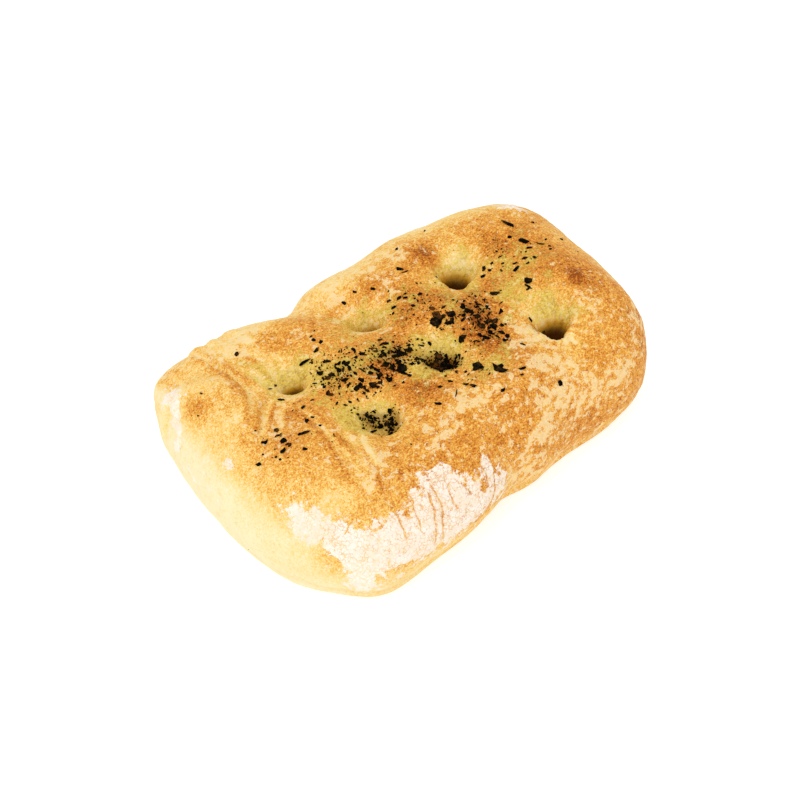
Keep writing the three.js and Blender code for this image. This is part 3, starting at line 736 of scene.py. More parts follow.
def loaf_surface(rings, hole_share=HOLE_SHARE, pit_pinch=0.0):
    """The top and walls over a square grid of rows i and columns j from -rings to rings. The ring
    max(|i|, |j|) / rings goes from the middle of the top over a superelliptic shoulder and down the
    wall to the foot, and the place along the ring gives the direction."""
    steps = np.arange(-rings, rings + 1)
    i, j = np.meshgrid(steps, steps, indexing="ij")
    share = np.maximum(abs(i), abs(j)) / rings
    angle = np.arctan2(j * HALF_WIDTH, i * HALF_LENGTH)
    radius = outline_radius(angle)
    step = 0.001
    slope = (outline_radius(angle + step) - outline_radius(angle - step)) / (2 * step * radius)
    stretch = np.clip(np.hypot(1, slope), 1, MOST_OBLIQUE)

    on_wall = share > WALL_STARTS
    down = np.clip((share - WALL_STARTS) / (1 - WALL_STARTS), 0, 1)
    turn = np.clip((share - SHOULDER_STARTS) / (WALL_STARTS - SHOULDER_STARTS), 0, 1) * np.pi / 2
    power = 2 / SHOULDER_SQUARENESS
    up = np.abs(np.cos(turn)) ** power
    wall_height = WIDEST_HEIGHT * (1 - down)

    r = radius - stretch * SHOULDER_WIDTH * (1 - np.sin(turn) ** power)
    flat = (radius - stretch * SHOULDER_WIDTH) * share / SHOULDER_STARTS
    r = np.where(share < SHOULDER_STARTS, flat, r)
    r = np.where(on_wall, radius - stretch * FOOT_TUCK * (1 - np.cos(down * np.pi / 2)), r)
    nominal_height = np.where(on_wall, wall_height, WIDEST_HEIGHT + (HEIGHT - WIDEST_HEIGHT) * up)
    swelling = outline_bump(angle, nominal_height)
    r += swelling * smooth_step(share, SWELLINGS_START, SWELLINGS_FULL)
    groove = FOOT_GROOVE_DEPTH * bell((wall_height - FOOT_GROOVE_HEIGHT) / FOOT_GROOVE_SPREAD)
    below_rounding = np.clip(1 - wall_height / FOOT_ROUNDING, 0, 1)
    rounding = FOOT_ROUNDING * (1 - np.sqrt(1 - below_rounding**2))
    r -= np.where(on_wall, stretch * (groove + rounding), 0)

    x, y = draw_in(r * np.cos(angle), r * np.sin(angle), PINCH)
    x, y = draw_in(x, y, pit_pinch, PIT_REACH)
    rise = (top_height(x, y, r / radius, hole_share) - WIDEST_HEIGHT) * up
    z = np.where(on_wall, wall_height, WIDEST_HEIGHT + rise)
    return np.stack([x, y, z], -1)


def centring_shift():
    """The middle of the solid's box seen from above, which the frame puts over the origin."""
    points = loaf_surface(SOLID_RINGS).reshape(-1, 3)
    low, high = points.min(0), points.max(0)
    return np.array([(low[0] + high[0]) / 2, (low[1] + high[1]) / 2, 0])


def grid_quads(rows, columns):
    """The quads of a grid whose vertices are numbered row by row."""
    numbers = np.arange(rows * columns).reshape(rows, columns)
    corners = [numbers[:-1, :-1], numbers[1:, :-1], numbers[1:, 1:], numbers[:-1, 1:]]
    return np.stack(corners, -1).reshape(-1, 4)


def border_of_grid(columns):
    """The numbers of a square grid's border vertices, counter-clockwise."""
    numbers = np.arange(columns * columns).reshape(columns, columns)
    return np.concatenate([numbers[:-1, 0], numbers[-1, :-1], numbers[:0:-1, -1], numbers[0, :0:-1]])


def vertex_normals(points, quads):
    """Unit normals: the sum of the crossed diagonals of the quads round each vertex."""
    first, second, third, fourth = (points[quads[:, corner]] for corner in range(4))
    crossed = np.cross(third - first, fourth - second)
    normals = np.zeros_like(points)
    for corner in range(4):
        for axis in range(3):
            normals[:, axis] += np.bincount(quads[:, corner], crossed[:, axis], len(points))
    return normals / np.maximum(np.linalg.norm(normals, axis=1, keepdims=True), 1e-9)


# ---- the crust's fine relief and finish ----


def line_pattern(points, direction, spacing, seed):
    """Noise stretched five times along a direction seen from above, so that it forms lines."""
    along, across = turned_offset(points[:, 0], points[:, 1], 0, 0, direction)
    return smooth_noise(np.stack([along / 5, across, points[:, 2] / 3], -1), spacing, seed)


def pleat_relief(points):
    """Sum over the pleated zones of a bell window times the line pattern."""
    total = np.zeros(len(points))
    for number, (x, y, reach, reach_across, direction, spacing, height) in enumerate(PLEATS):
        along, across = turned_offset(points[:, 0], points[:, 1], x, y, direction)
        window = bell(np.hypot(along / reach, across / reach_across))
        total += height * window * line_pattern(points, direction, spacing, 40 + number)
    return total


def seam_sums(points):
    """Sums over the seams of a bell of the distance to each: times its browning, times its height."""
    browning = np.zeros(len(points))
    height = np.zeros(len(points))
    wander = 0.7 * smooth_noise(points, 6, 73) + 0.3 * smooth_noise(points, 2, 74)
    for path, width, browner, higher in SEAMS:
        away = distance_to_path(points[:, 0] + wander, points[:, 1] + wander, path)
        cover = bell(away / width) * (points[:, 2] > WIDEST_HEIGHT)
        browning += browner * cover
        height += higher * cover
    return browning, height


def dimple_rays(points):
    """Creases that run into each dimple: noise of the direction round it, in a ring-shaped window."""
    total = np.zeros(len(points))
    for number, (name, dimple) in enumerate(DIMPLES.items()):
        dx, dy = points[:, 0] - dimple.x, points[:, 1] - dimple.y
        away = np.hypot(dx, dy)
        round_it = np.stack([dx, dy, np.full(len(dx), 3.0 * number)], -1) / np.maximum(away, 0.5)[:, None]
        ring = CREASE_RING * max(dimple.half_length, dimple.half_width)
        window = PITS[name].creases * bell((away - ring) / CREASE_REACH)
        total += window * smooth_noise(round_it * 4 + away[:, None] / 25, 1, 60 + number)
    return total


def funnel_cover(points):
    """Sum of bells round the dimples, each a little off its dimple, away from the steep side."""
    total = np.zeros(len(points))
    for name, dimple in DIMPLES.items():
        away = np.radians(PITS[name].steep_side + 180)
        dx = points[:, 0] - dimple.x - OILY_FUNNEL_OFFSET * np.cos(away)
        dy = points[:, 1] - dimple.y - OILY_FUNNEL_OFFSET * np.sin(away)
        total += bell(np.hypot(dx, dy) / (OILY_FUNNEL * dimple.funnel))
    return total * (points[:, 2] > WIDEST_HEIGHT)


def foot_folds(points):
    """Flat folds one above the other near the foot: noise stretched along the foot, fading upwards."""
    x, y, z = points.T
    folds = smooth_noise(np.stack([x / 14, y / 14, z / 1.9], -1), 1, 75)
    return FOOT_FOLD_HEIGHT * folds * bell((z - 6) / 6)


def crack_cover(points):
    """How much of a crack is at each point of the front wall: a bell of the distance to the nearest."""
    x = points[:, 0] + 0.5 * smooth_noise(points, 2.5, 71)
    away = reduce(np.minimum, [distance_to_path(x, points[:, 2], crack) for crack in CRACKS])
    return bell(away / CRACK_WIDTH) * (points[:, 1] < -30)


def knob_crease(points):
    """How much of the knob's crease is at each point of the left wall, in the same way."""
    away = distance_to_path(points[:, 1], points[:, 2], KNOB_CREASE)
    return bell(away / KNOB_CREASE_WIDTH) * (points[:, 0] < -50)


def blister_relief(points):
    """Low domes, each its height times (1 - q^2)^0.7."""
    total = np.zeros(len(points))
    for x, y, radius, height in BLISTERS:
        away = np.hypot(points[:, 0] - x, points[:, 1] - y) / radius
        total += height * np.clip(1 - away**2, 0, 1) ** 0.7
    return total


def crust_finish(points, normals):
    """What the oven, oil, flour and herbs did at each point: sums of the patches, noise and the
    relief's lines, each times how much it adds, and each result from 0 to about 1."""
    x, y, z = points.T
    upward = smooth_step(normals[:, 2], -0.1, 0.5)
    left_wall = smooth_step(-normals[:, 0], 0.35, 0.8) * smooth_step(-x, 50, 68)
    lines = PLEATS_SHOW * pleat_relief(points) + CREASES_SHOW * dimple_rays(points)
    funnels = funnel_cover(points)

    browning = np.interp(x, *zip(*BROWNING_ALONG)) + patch_sum(x, y, BROWNED_PATCHES) * upward
    browning += blob_sum(x, y, z, BROWNED_ON_WALLS) + seam_sums(points)[0]
    browning += 0.07 * layered_noise(points, 14, 81, 3) + 0.05 * layered_noise(points, 4, 82, 2)
    browning += BROWNER_LINES * lines + BROWNER_KNOB_CREASE * knob_crease(points)
    browning -= PALER_LEFT_WALL * left_wall * smooth_step(34 - z, 0, 8)
    browning -= PALER_FOOT * smooth_step(-z, -16, -4) + PALER_FUNNELS * funnels

    oil = (patch_sum(x, y, OILED_PATCHES) + OILY_FUNNELS * funnels) * upward

    cream = CREAM_BASE + CREAM_ON_TOP * patch_cover(x, y, CREAM_PATCHES) * upward
    cream += blob_sum(x, y, z, CREAM_ON_WALLS)
    cream += CREAM_ON_OVERHANG * smooth_step(-normals[:, 2], -0.8, -0.4)
    cream -= LESS_CREAM_ON_LINES * lines + LESS_CREAM_ON_LEFT_WALL * left_wall
    cream -= smooth_step(browning, 0.68, 1)

    herbs = patch_sum(x, y, HERB_PATCHES) / STAINING_HERBS
    return {
        "browning": np.clip(browning, 0, 1.1),
        "oil": np.clip(oil, 0, 1),
        "cream": np.clip(cream, 0, 1.2),
        "flour": np.clip(blob_sum(x, y, z, FLOURED_PATCHES), 0, 1.3),
        "cracks": crack_cover(points),
        "stain": np.clip(herbs, 0, 1) * upward,
    }


def crust_relief(points, finish, speckle):
    """Height to add along the normal: lumps, skin cells, pleats, seams, creases into the dimples,
    blisters and folds at the foot, less the cracks; the cells are cracked-mud domes."""
    relief = BROAD_LUMPS * layered_noise(points, 16, 11, 2)
    relief += SMALL_LUMPS * layered_noise(points, 5, 12, 2)
    cells = np.clip(cell_edges(points, SKIN_CELL_SIZE, 13), 0, 0.5)
    floured = smooth_step(finish["flour"], 0.35, 0.6)
    relief += speckle * (1 + 0.8 * floured) * (cells - 0.25) * 2 + FLOUR_THICKNESS * floured
    relief += pleat_relief(points) + seam_sums(points)[1] + CREASE_HEIGHT * dimple_rays(points)
    relief += blister_relief(points) + foot_folds(points)
    relief -= CRACK_DEPTH * finish["cracks"] + KNOB_CREASE_DEPTH * knob_crease(points)
    return relief * smooth_step(points[:, 2], 0.2, 3)


def underside(rim, first):
    """Shrinking copies of the rim and a middle point, slightly arched. Returns the points, numbered
    on from first, and their numbers ring by ring."""
    rings = [rim * share for share in UNDERSIDE_SHARES]
    for ring in rings:
        inset = 1 - np.max(np.abs(ring[:, :2]) / (HALF_LENGTH, HALF_WIDTH), axis=1)
        arch = UNDERSIDE_ARCH + 0.25 * layered_noise(ring, 9, 90, 3)
        ring[:, 2] = smooth_step(inset, 0.1, 0.2) * arch
    numbers = first + np.arange(len(rings) * len(rim)).reshape(-1, len(rim))
    return np.concatenate([*rings, [(0, 0, UNDERSIDE_ARCH)]]), numbers


def crust_shape(speckle):
    """The closed crust: the loaf's surface with its relief, and rings across the underside. Returns
    its points, quads, the triangles round the underside's middle, and the finish by name."""
    surface = loaf_surface(CRUST_RINGS, SHALLOW_HOLE_SHARE, PIT_PINCH)
    top, inside = press_pits(tuck_foot(surface.reshape(-1, 3)))
    quads = grid_quads(CRUST_COLUMNS, CRUST_COLUMNS)
    normals = vertex_normals(top, quads)
    finish = crust_finish(top, normals)
    # The pits' oil tint and painted shade, darker the deeper a point lies in a pit
    finish["pit"] = inside
    top = top + normals * crust_relief(top, finish, speckle)[:, None]
    border = border_of_grid(CRUST_COLUMNS)
    top[:, 2] = np.maximum(top[:, 2], 0)
    top[border, 2] = 0

    under, numbers = underside(top[border], len(top))
    numbers = np.concatenate([border[None], numbers])
    outer, inner = numbers[:-1], numbers[1:]
    under_quads = np.stack([outer, inner, np.roll(inner, -1, 1), np.roll(outer, -1, 1)], -1)
    last = numbers[-1]
    pole = np.full(len(last), len(top) + len(under) - 1)
    fan = np.stack([last, pole, np.roll(last, -1)], -1)

    under_finish = {
        "browning": 0.62 + 0.1 * layered_noise(under, 12, 91, 3),
        "flour": 0.42 + 0.2 * layered_noise(under, 15, 92, 3),
    }
    plain = np.zeros(len(under))
    finish = {name: np.concatenate([top_values, under_finish.get(name, plain)])
              for name, top_values in finish.items()}
    points = np.concatenate([top, under]) - centring_shift()
    return points, np.concatenate([quads, under_quads.reshape(-1, 4)]), fan, finish


# ---- herbs ----


def leaf_fragments(lengths, widths, spokes, thickness, rng):
    """Torn leaf pieces round the origin, one for each length: a rim of corners, one to a spoke, at
    0.5 to 1.12 of half the length and width, with a ring and a middle point above it and below it,
    all bent by a saddle k(u^2 - v^2). Returns points by piece, and the triangles of one piece."""
    count = len(lengths)
    angles = (np.arange(spokes) + 0.6 * rng.random((count, spokes))) * 2 * np.pi / spokes
    reach = 0.5 + 0.62 * rng.random((count, spokes))
    u = np.cos(angles) * reach * lengths[:, None] / 2
    v = np.sin(angles) * reach * widths[:, None] / 2
    inner_u, inner_v = 0.55 * u, 0.55 * v
    half = thickness[:, None] / 2
    bend = rng.normal(0, 0.09, (count, 1))
    rough = rng.normal(0, 0.12, (count, spokes)) * thickness[:, None]

    def lifted(u, v, height):
        """One layer of points at a height over the bent sheet."""
        return np.stack([u, v, height + bend * (u * u - v * v)], -1)

    middle = np.zeros((count, 1))
    layers = [
        lifted(middle, middle, middle + half * 1.1),
        lifted(inner_u, inner_v, half + rough),
        lifted(u, v, rough * 0.5),
        lifted(inner_u, inner_v, -half + rough),
        lifted(middle, middle, middle - half),
    ]
    rings = 1 + np.arange(3 * spokes).reshape(3, spokes)
    upper, rim, lower = rings
    upper_next, rim_next, lower_next = np.roll(rings, -1, axis=1)
    top = np.zeros(spokes, int)
    pole = np.full(spokes, 1 + 3 * spokes)
    triangles = [
        (top, upper, upper_next),
        (upper, rim, rim_next),
        (upper, rim_next, upper_next),
        (rim, lower, lower_next),
        (rim, lower_next, rim_next),
        (lower, pole, lower_next),
    ]
    return np.concatenate(layers, axis=1), np.concatenate([np.stack(t, -1) for t in triangles])


def lay_fragments(fragments, places, normals, turns, tilt, lift, rng):
    """Turns each fragment onto the crust: its third axis along the normal, leaned by a small tilt,
    and its middle a lift above the crust."""
    lean = normals + rng.normal(0, 1, normals.shape) * tilt
    lean /= np.linalg.norm(lean, axis=1, keepdims=True)
    along = np.stack([np.cos(turns), np.sin(turns), np.zeros(len(turns))], -1)
    along -= lean * np.sum(along * lean, axis=1, keepdims=True)
    along /= np.linalg.norm(along, axis=1, keepdims=True)
    across = np.cross(lean, along)
    axes = np.stack([along, across, lean], 1)
    return np.einsum("nka,nab->nkb", fragments, axes) + (places + normals * lift[:, None])[:, None]


def join_pieces(points, triangles):
    """All pieces' points in one array, with each piece's triangles numbered from its own first point."""
    count, size = points.shape[:2]
    numbers = triangles[None] + (np.arange(count) * size)[:, None, None]
    return points.reshape(-1, 3), numbers.reshape(-1, 3)


def nearest_on_crust(crust, places):
    """The crust vertex nearest to each (x, y) seen from above."""
    away = (crust[None, :, 0] - places[:, 0:1]) ** 2 + (crust[None, :, 1] - places[:, 1:2]) ** 2
    return np.argmin(away, axis=1)


# ---- meshes, materials and nodes ----

NO_FACES = np.empty((0, 3), int)


def new_object(name, points, quads, triangles):
    """A smooth-shaded mesh object from arrays of points in millimetres, quads and triangles."""
    mesh = bpy.data.meshes.new(name)
    corners = np.concatenate([quads.ravel(), triangles.ravel()]).astype(np.int32)
    triangle_starts = quads.size + 3 * np.arange(len(triangles))
    starts = np.concatenate([4 * np.arange(len(quads)), triangle_starts])
    mesh.vertices.add(len(points))
    mesh.vertices.foreach_set("co", (points * MM).astype(np.float32).ravel())
    mesh.loops.add(len(corners))
    mesh.loops.foreach_set("vertex_index", corners)
    mesh.polygons.add(len(starts))
    mesh.polygons.foreach_set("loop_start", starts.astype(np.int32))
    mesh.update(calc_edges=True)
    mesh.validate()
    mesh.shade_smooth()
    thing = bpy.data.objects.new(name, mesh)
    bpy.context.scene.collection.objects.link(thing)
    return thing


def set_point_values(thing, name, values):
    """Keeps one number for each vertex as a named attribute."""
    attribute = thing.data.attributes.new(name, "FLOAT", "POINT")
    attribute.data.foreach_set("value", np.asarray(values, np.float32))


def linear(red, green, blue):
    """A display colour from 0 to 255 as linear light from 0 to 1."""
    share = np.array([red, green, blue]) / 255
    return tuple(np.where(share > 0.04045, ((share + 0.055) / 1.055) ** 2.4, share / 12.92))


class Nodes:
    """Short ways to add and join a material's nodes. Its patterns read places in millimetres."""

    WOBBLES_PER_MM = 0.7
    WOBBLE_REACH = 2.2

    def __init__(self, name):
        self.material = bpy.data.materials.new(name)
        self.material.use_nodes = True
        self.tree = self.material.node_tree
        self.shader = self.tree.nodes["Principled BSDF"]
        coordinates = self.add("ShaderNodeTexCoord")
        in_mm = self.add("ShaderNodeVectorMath", operation="SCALE")
        self.join(coordinates.outputs["Object"], in_mm.inputs[0])
        in_mm.inputs["Scale"].default_value = 1 / MM
        self.place = in_mm.outputs[0]
        wobble = self.add("ShaderNodeTexNoise")
        self.join(self.place, wobble.inputs["Vector"])
        wobble.inputs["Scale"].default_value = self.WOBBLES_PER_MM
        off = self.add("ShaderNodeVectorMath", operation="MULTIPLY_ADD")
        self.join(wobble.outputs["Color"], off.inputs[0])
        off.inputs[1].default_value = (self.WOBBLE_REACH,) * 3
        self.join(self.place, off.inputs[2])
        self.warped_place = off.outputs[0]

    def add(self, kind, **settings):
        """A new node with its settings."""
        node = self.tree.nodes.new(kind)
        for name, value in settings.items():
            setattr(node, name, value)
        return node

    def join(self, source, target):
        """Makes a socket read another, or a number or colour of its own."""
        if isinstance(source, bpy.types.NodeSocket):
            self.tree.links.new(source, target)
        elif target.type == "RGBA":
            target.default_value = (*source, 1)
        else:
            target.default_value = source

    def math(self, operation, first, second):
        """One sum on numbers."""
        node = self.add("ShaderNodeMath", operation=operation)
        self.join(first, node.inputs[0])
        self.join(second, node.inputs[1])
        return node.outputs[0]

    def value(self, name):
        """The number kept for each vertex under a name."""
        return self.add("ShaderNodeAttribute", attribute_name=name).outputs["Fac"]

    def pattern(self, kind, place, size, offset, **settings):
        """A texture node whose features are of a size in millimetres, moved by an offset."""
        moved = self.add("ShaderNodeMapping")
        self.join(place, moved.inputs["Vector"])
        moved.inputs["Location"].default_value = (offset, 2 * offset, -offset)
        node = self.add(kind, **settings)
        self.join(moved.outputs[0], node.inputs["Vector"])
        node.inputs["Scale"].default_value = 1 / size
        return node

    def noise(self, size, detail, roughness, offset=0.0):
        """Noise from about 0 to 1 with lumps of a size."""
        node = self.pattern("ShaderNodeTexNoise", self.place, size, offset)
        node.inputs["Detail"].default_value = detail
        node.inputs["Roughness"].default_value = roughness
        return node.outputs["Fac"]

    def cells(self, size, offset, feature="F1"):
        """The node of a warped pattern of random cells of a size."""
        return self.pattern("ShaderNodeTexVoronoi", self.warped_place, size, offset, feature=feature)

    def step(self, value, low, high, to_low=0.0, to_high=1.0):
        """A smooth step from to_low to to_high as the value goes from low to high."""
        node = self.add("ShaderNodeMapRange", interpolation_type="SMOOTHSTEP")
        for source, name in ((value, "Value"), (low, "From Min"), (high, "From Max")):
            self.join(source, node.inputs[name])
        self.join(to_low, node.inputs["To Min"])
        self.join(to_high, node.inputs["To Max"])
        return node.outputs[0]

    def sway(self, value, *noises):
        """The value plus each noise about 0.5, times its amount."""
        for noise, amount in noises:
            off = self.math("SUBTRACT", noise, 0.5)
            value = self.math("ADD", value, self.math("MULTIPLY", off, amount))
        return value

    def mix(self, share, first, second, blend="MIX"):
        """A blend of two colours."""
        node = self.add("ShaderNodeMix", data_type="RGBA", blend_type=blend)
        self.join(share, node.inputs[0])
        self.join(first, node.inputs[6])
        self.join(second, node.inputs[7])
        return node.outputs[2]

    def ramp(self, value, stops):
        """A colour ramp from (position, colour) pairs."""
        node = self.add("ShaderNodeValToRGB")
        self.join(value, node.inputs[0])
        elements = node.color_ramp.elements
        while len(elements) < len(stops):
            elements.new(0.5)
        for element, (position, colour) in zip(elements, stops):
            element.position = position
            element.color = (*colour, 1)
        return node.outputs[0]

    def bump(self, height, distance):
        """Joins a height to the shader's normal, distance in millimetres."""
        node = self.add("ShaderNodeBump")
        self.join(height, node.inputs["Height"])
        node.inputs["Distance"].default_value = distance * MM
        self.join(node.outputs[0], self.shader.inputs["Normal"])

    def finish(self, **sockets):
        """Sets or joins the shader's sockets, named with _ for each space. Returns the material."""
        for name, source in sockets.items():
            self.join(source, self.shader.inputs[name.replace("_", " ")])
        return self.material


def crust_material(settings):
    """Baked crust: a browning ramp, oil, cream film, thick flour with cracks, herb stain, and the pits'
    oil tint with painted shade, each laid over the ones before where its value for each vertex,
    swayed by noise, is high."""
    nodes = Nodes("baked_crust")
    broad = nodes.noise(4.5, 5, 0.62)
    fine = nodes.noise(1.2, 3, 0.62, 7)
    grain = nodes.noise(0.5, 2, 0.6, 13)
    pores = nodes.cells(0.95, 9).outputs["Distance"]

    baked = nodes.value("browning")
    lively = nodes.step(baked, 0.1, 0.5, 0.42, 1.0)
    mottle = nodes.sway(0.0, (broad, 0.4), (fine, 0.85), (grain, 1.3), (pores, 0.22))
    browning = nodes.math("ADD", baked, nodes.math("MULTIPLY", mottle, lively))
    colour = nodes.ramp(browning, [
        (0.0, settings.palest),
        (0.2, settings.pale),
        (0.4, settings.straw),
        (0.55, settings.golden),
        (0.7, settings.orange),
        (0.86, settings.brown),
        (1.0, settings.darkest),
    ])

    oil = nodes.sway(nodes.value("oil"), (fine, 1.2), (broad, 2.4))
    oil = nodes.step(oil, 0.2, 0.95, 0.0, 0.78)
    soaked = nodes.mix(nodes.step(fine, 0.34, 0.6), settings.oily_dark, settings.oily)
    soaked = nodes.mix(nodes.step(grain, 0.5, 0.32, 0.0, 0.6), soaked, settings.pale)
    colour = nodes.mix(oil, colour, soaked)

    lichen = nodes.noise(2.8, 4, 0.66, 31)
    cream = nodes.sway(nodes.value("cream"), (lichen, 4.8), (fine, 2.4), (grain, 0.9))
    cream = nodes.step(cream, 0.66, 0.86, 0.0, 0.92)
    film = nodes.mix(nodes.math("MULTIPLY", oil, 0.5), settings.cream, settings.oily)
    film = nodes.mix(nodes.step(grain, 0.62, 0.4, 0.0, 0.4), film, colour)
    colour = nodes.mix(cream, colour, film)

    drift = nodes.noise(3.4, 5, 0.65, 21)
    cell_draw = nodes.cells(1.3, 3).outputs["Color"]
    flour = nodes.sway(nodes.value("flour"), (drift, 2.2), (cell_draw, 0.4), (fine, 0.5))
    flour = nodes.step(flour, 0.4, 0.56, 0.0, 0.96)
    floured = nodes.step(nodes.value("flour"), 0.03, 0.14)
    flour = nodes.math("MULTIPLY", flour, floured)
    crackle = nodes.cells(1.3, 3, "DISTANCE_TO_EDGE").outputs["Distance"]
    crackle = nodes.sway(crackle, (nodes.noise(2.6, 3, 0.6, 41), 0.4))
    crackle = nodes.step(crackle, 0.0, 0.1, 0.4, 1.0)
    unbroken = nodes.step(nodes.sway(nodes.value("cracks"), (fine, 0.7)), 0.5, 0.85, 1.0, 0.15)
    flour = nodes.math("MULTIPLY", flour, nodes.math("MULTIPLY", crackle, unbroken))
    thin = nodes.step(nodes.noise(6, 4, 0.6, 55), 0.4, 0.62)
    colour = nodes.mix(flour, colour, nodes.mix(thin, settings.flour, settings.thin_flour))

    stain = nodes.step(nodes.sway(nodes.value("stain"), (fine, 0.4)), 0.2, 1.0, 0.0, 0.6)
    colour = nodes.mix(stain, colour, settings.stain, "MULTIPLY")
    # The pits' oil tint and painted shade: the crust is multiplied darker the deeper it lies in a pit.
    depth = nodes.value("pit")
    colour = nodes.mix(nodes.step(depth, 0.0, 0.5), colour, settings.pit_side_oil_and_shade, "MULTIPLY")
    colour = nodes.mix(nodes.step(depth, 0.25, 1.0), colour, settings.pit, "MULTIPLY")

    dry = nodes.step(nodes.math("MAXIMUM", flour, cream), 0.0, 1.0, 0.6, 0.92)
    roughness = nodes.math("SUBTRACT", dry, nodes.math("MULTIPLY", oil, 0.28))
    height = nodes.math("ADD", nodes.math("MULTIPLY", fine, 0.6), nodes.math("MULTIPLY", grain, 0.35))
    scales = nodes.math("MULTIPLY", crackle, nodes.math("MULTIPLY", floured, 0.3))
    nodes.bump(nodes.math("ADD", height, scales), 0.16)
    return nodes.finish(Base_Color=colour, Roughness=roughness, Specular_IOR_Level=0.08)


def herb_material(settings):
    """Dried leaf, nearly black, with olive and brown in it."""
    nodes = Nodes("dried_herb")
    tone = nodes.sway(nodes.noise(5, 2, 0.6), (nodes.noise(0.8, 2, 0.6, 6), 0.5))
    colour = nodes.ramp(tone, [
        (0.5, settings.dark),
        (0.62, settings.olive),
        (0.72, settings.rust),
    ])
    nodes.bump(nodes.noise(0.35, 2, 0.6, 4), 0.1)
    return nodes.finish(Base_Color=colour, Roughness=0.65, Specular_IOR_Level=0.03)


def floor_material():
    """Plain white studio paper."""
    return Nodes("white_paper").finish(
        Base_Color=(0.5, 0.5, 0.5),
        Roughness=0.9,
        Specular_IOR_Level=0.1,
        Emission_Color=(1, 1, 1),
        Emission_Strength=0.65,
    )


# ---- settings ----


def colour_setting(name, description, red, green, blue):
    """A colour property whose default is given as a display colour."""
    default = linear(red, green, blue)
    return FloatVectorProperty(
        name=name, description=description, subtype="COLOR", size=3, min=0, max=1, default=default
    )


def angle_setting(name, description, degrees):
    """An angle property whose default is given in degrees."""
    default = np.radians(degrees)
    return FloatProperty(name=name, description=description, default=default, unit="ROTATION")


def length_setting(name, description, millimetres):
    """A length property whose default is given in millimetres."""
    default = millimetres * MM
    return FloatProperty(name=name, description=description, default=default, unit="LENGTH")


class CrustSettings(bpy.types.PropertyGroup):
    """Relief and colours of the crust."""

    speckle: length_setting("Skin cells", "Height of the small cells in the skin", 0.09)
    palest: colour_setting("Palest", "Crust that hardly took colour", 249, 234, 190)
    pale: colour_setting("Pale", "Pale crust of the left end", 249, 220, 152)
    straw: colour_setting("Straw", "Lightly baked crust", 246, 200, 108)
    golden: colour_setting("Golden", "Most of the top", 236, 173, 76)
    orange: colour_setting("Orange", "Well baked ridges", 221, 144, 54)
    brown: colour_setting("Brown", "Darker spots", 202, 120, 40)
    darkest: colour_setting("Darkest", "The darkest spots", 146, 74, 20)
    oily: colour_setting("Oiled", "Crust soaked with oil", 224, 200, 86)
    oily_dark: colour_setting("Oiled dark", "Darkest of the crust soaked with oil", 172, 138, 28)
    cream: colour_setting("Cream", "Film of baked flour", 247, 222, 168)
    flour: colour_setting("Flour", "Thick flour", 251, 243, 230)
    thin_flour: colour_setting("Thin flour", "Flour that lets some crust through", 248, 233, 212)
    # Oil tint and painted shade multiplied into the crust in the pits; the second is darker, for the
    # deepest parts.
    pit_side_oil_and_shade: colour_setting("Pit side", "Oil tint and painted shade on the sides of the pits", 222, 190, 110)
    pit: colour_setting("Pit", "Oil tint and painted shade at the bottoms of the pits", 84, 62, 8)
    stain: colour_setting("Stain", "Tint of the crust under the herbs", 150, 120, 60)


class HerbSettings(bpy.types.PropertyGroup):
    """Amount and colours of the herbs."""

    crumbs: IntProperty(name="Crumbs", description="Number of small herb crumbs", default=1300)
    bits: IntProperty(name="Bits", description="Number of middling herb bits", default=520)
    dark: colour_setting("Dark", "Most of the leaf", 8, 5, 2)
    olive: colour_setting("Olive", "Greener parts", 34, 26, 9)
    rust: colour_setting("Rust", "Browner parts", 92, 52, 16)


class StageSettings(bpy.types.PropertyGroup):
    """Camera and lights."""

    azimuth: angle_setting("Azimuth", "Camera's direction", -39)
    elevation: angle_setting("Elevation", "Camera's angle above the floor", 48.7)
    distance: length_setting("Distance", "Camera to the loaf", 800)
    lens: FloatProperty(name="Lens", description="Focal length in millimetres", default=113.76)
    aim_height: length_setting("Aim height", "Height that the camera looks at", 16)
    aim_right: length_setting("Aim right", "Aim point right of the middle", -4.27)
    aim_up: length_setting("Aim up", "Aim point above the middle", -2.34)
    surroundings: FloatProperty(
        name="Surroundings", description="Brightness of the white surroundings", default=0.8
    )
    key_strength: FloatProperty(
        name="Key light", description="Strength of the main soft light", default=0.95
    )
    key_softness: angle_setting("Key softness", "Angle that the main light fills", 30)


class LoafSettings(bpy.types.PropertyGroup):
    """All settings of the loaf and its stage."""

    crust: PointerProperty(type=CrustSettings)
    herbs: PointerProperty(type=HerbSettings)
    stage: PointerProperty(type=StageSettings)


# ---- operators ----


def dress(piece, material):
    """Gives a piece its material and puts it with the loaf."""
    piece.data.materials.append(material)
    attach(piece, "root")
    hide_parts("bread")


def crust_arrays():
    """The finished crust's top vertices in millimetres, and their normals."""
    mesh = bpy.data.objects["bread_crust"].data
    points = np.empty((len(mesh.vertices), 3))
    mesh.vertices.foreach_get("co", points.ravel())
    normals = np.empty((len(mesh.vertices), 3))
    mesh.vertex_normals.foreach_get("vector", normals.ravel())
    top = slice(CRUST_COLUMNS**2)
    return points[top] / MM, normals[top]


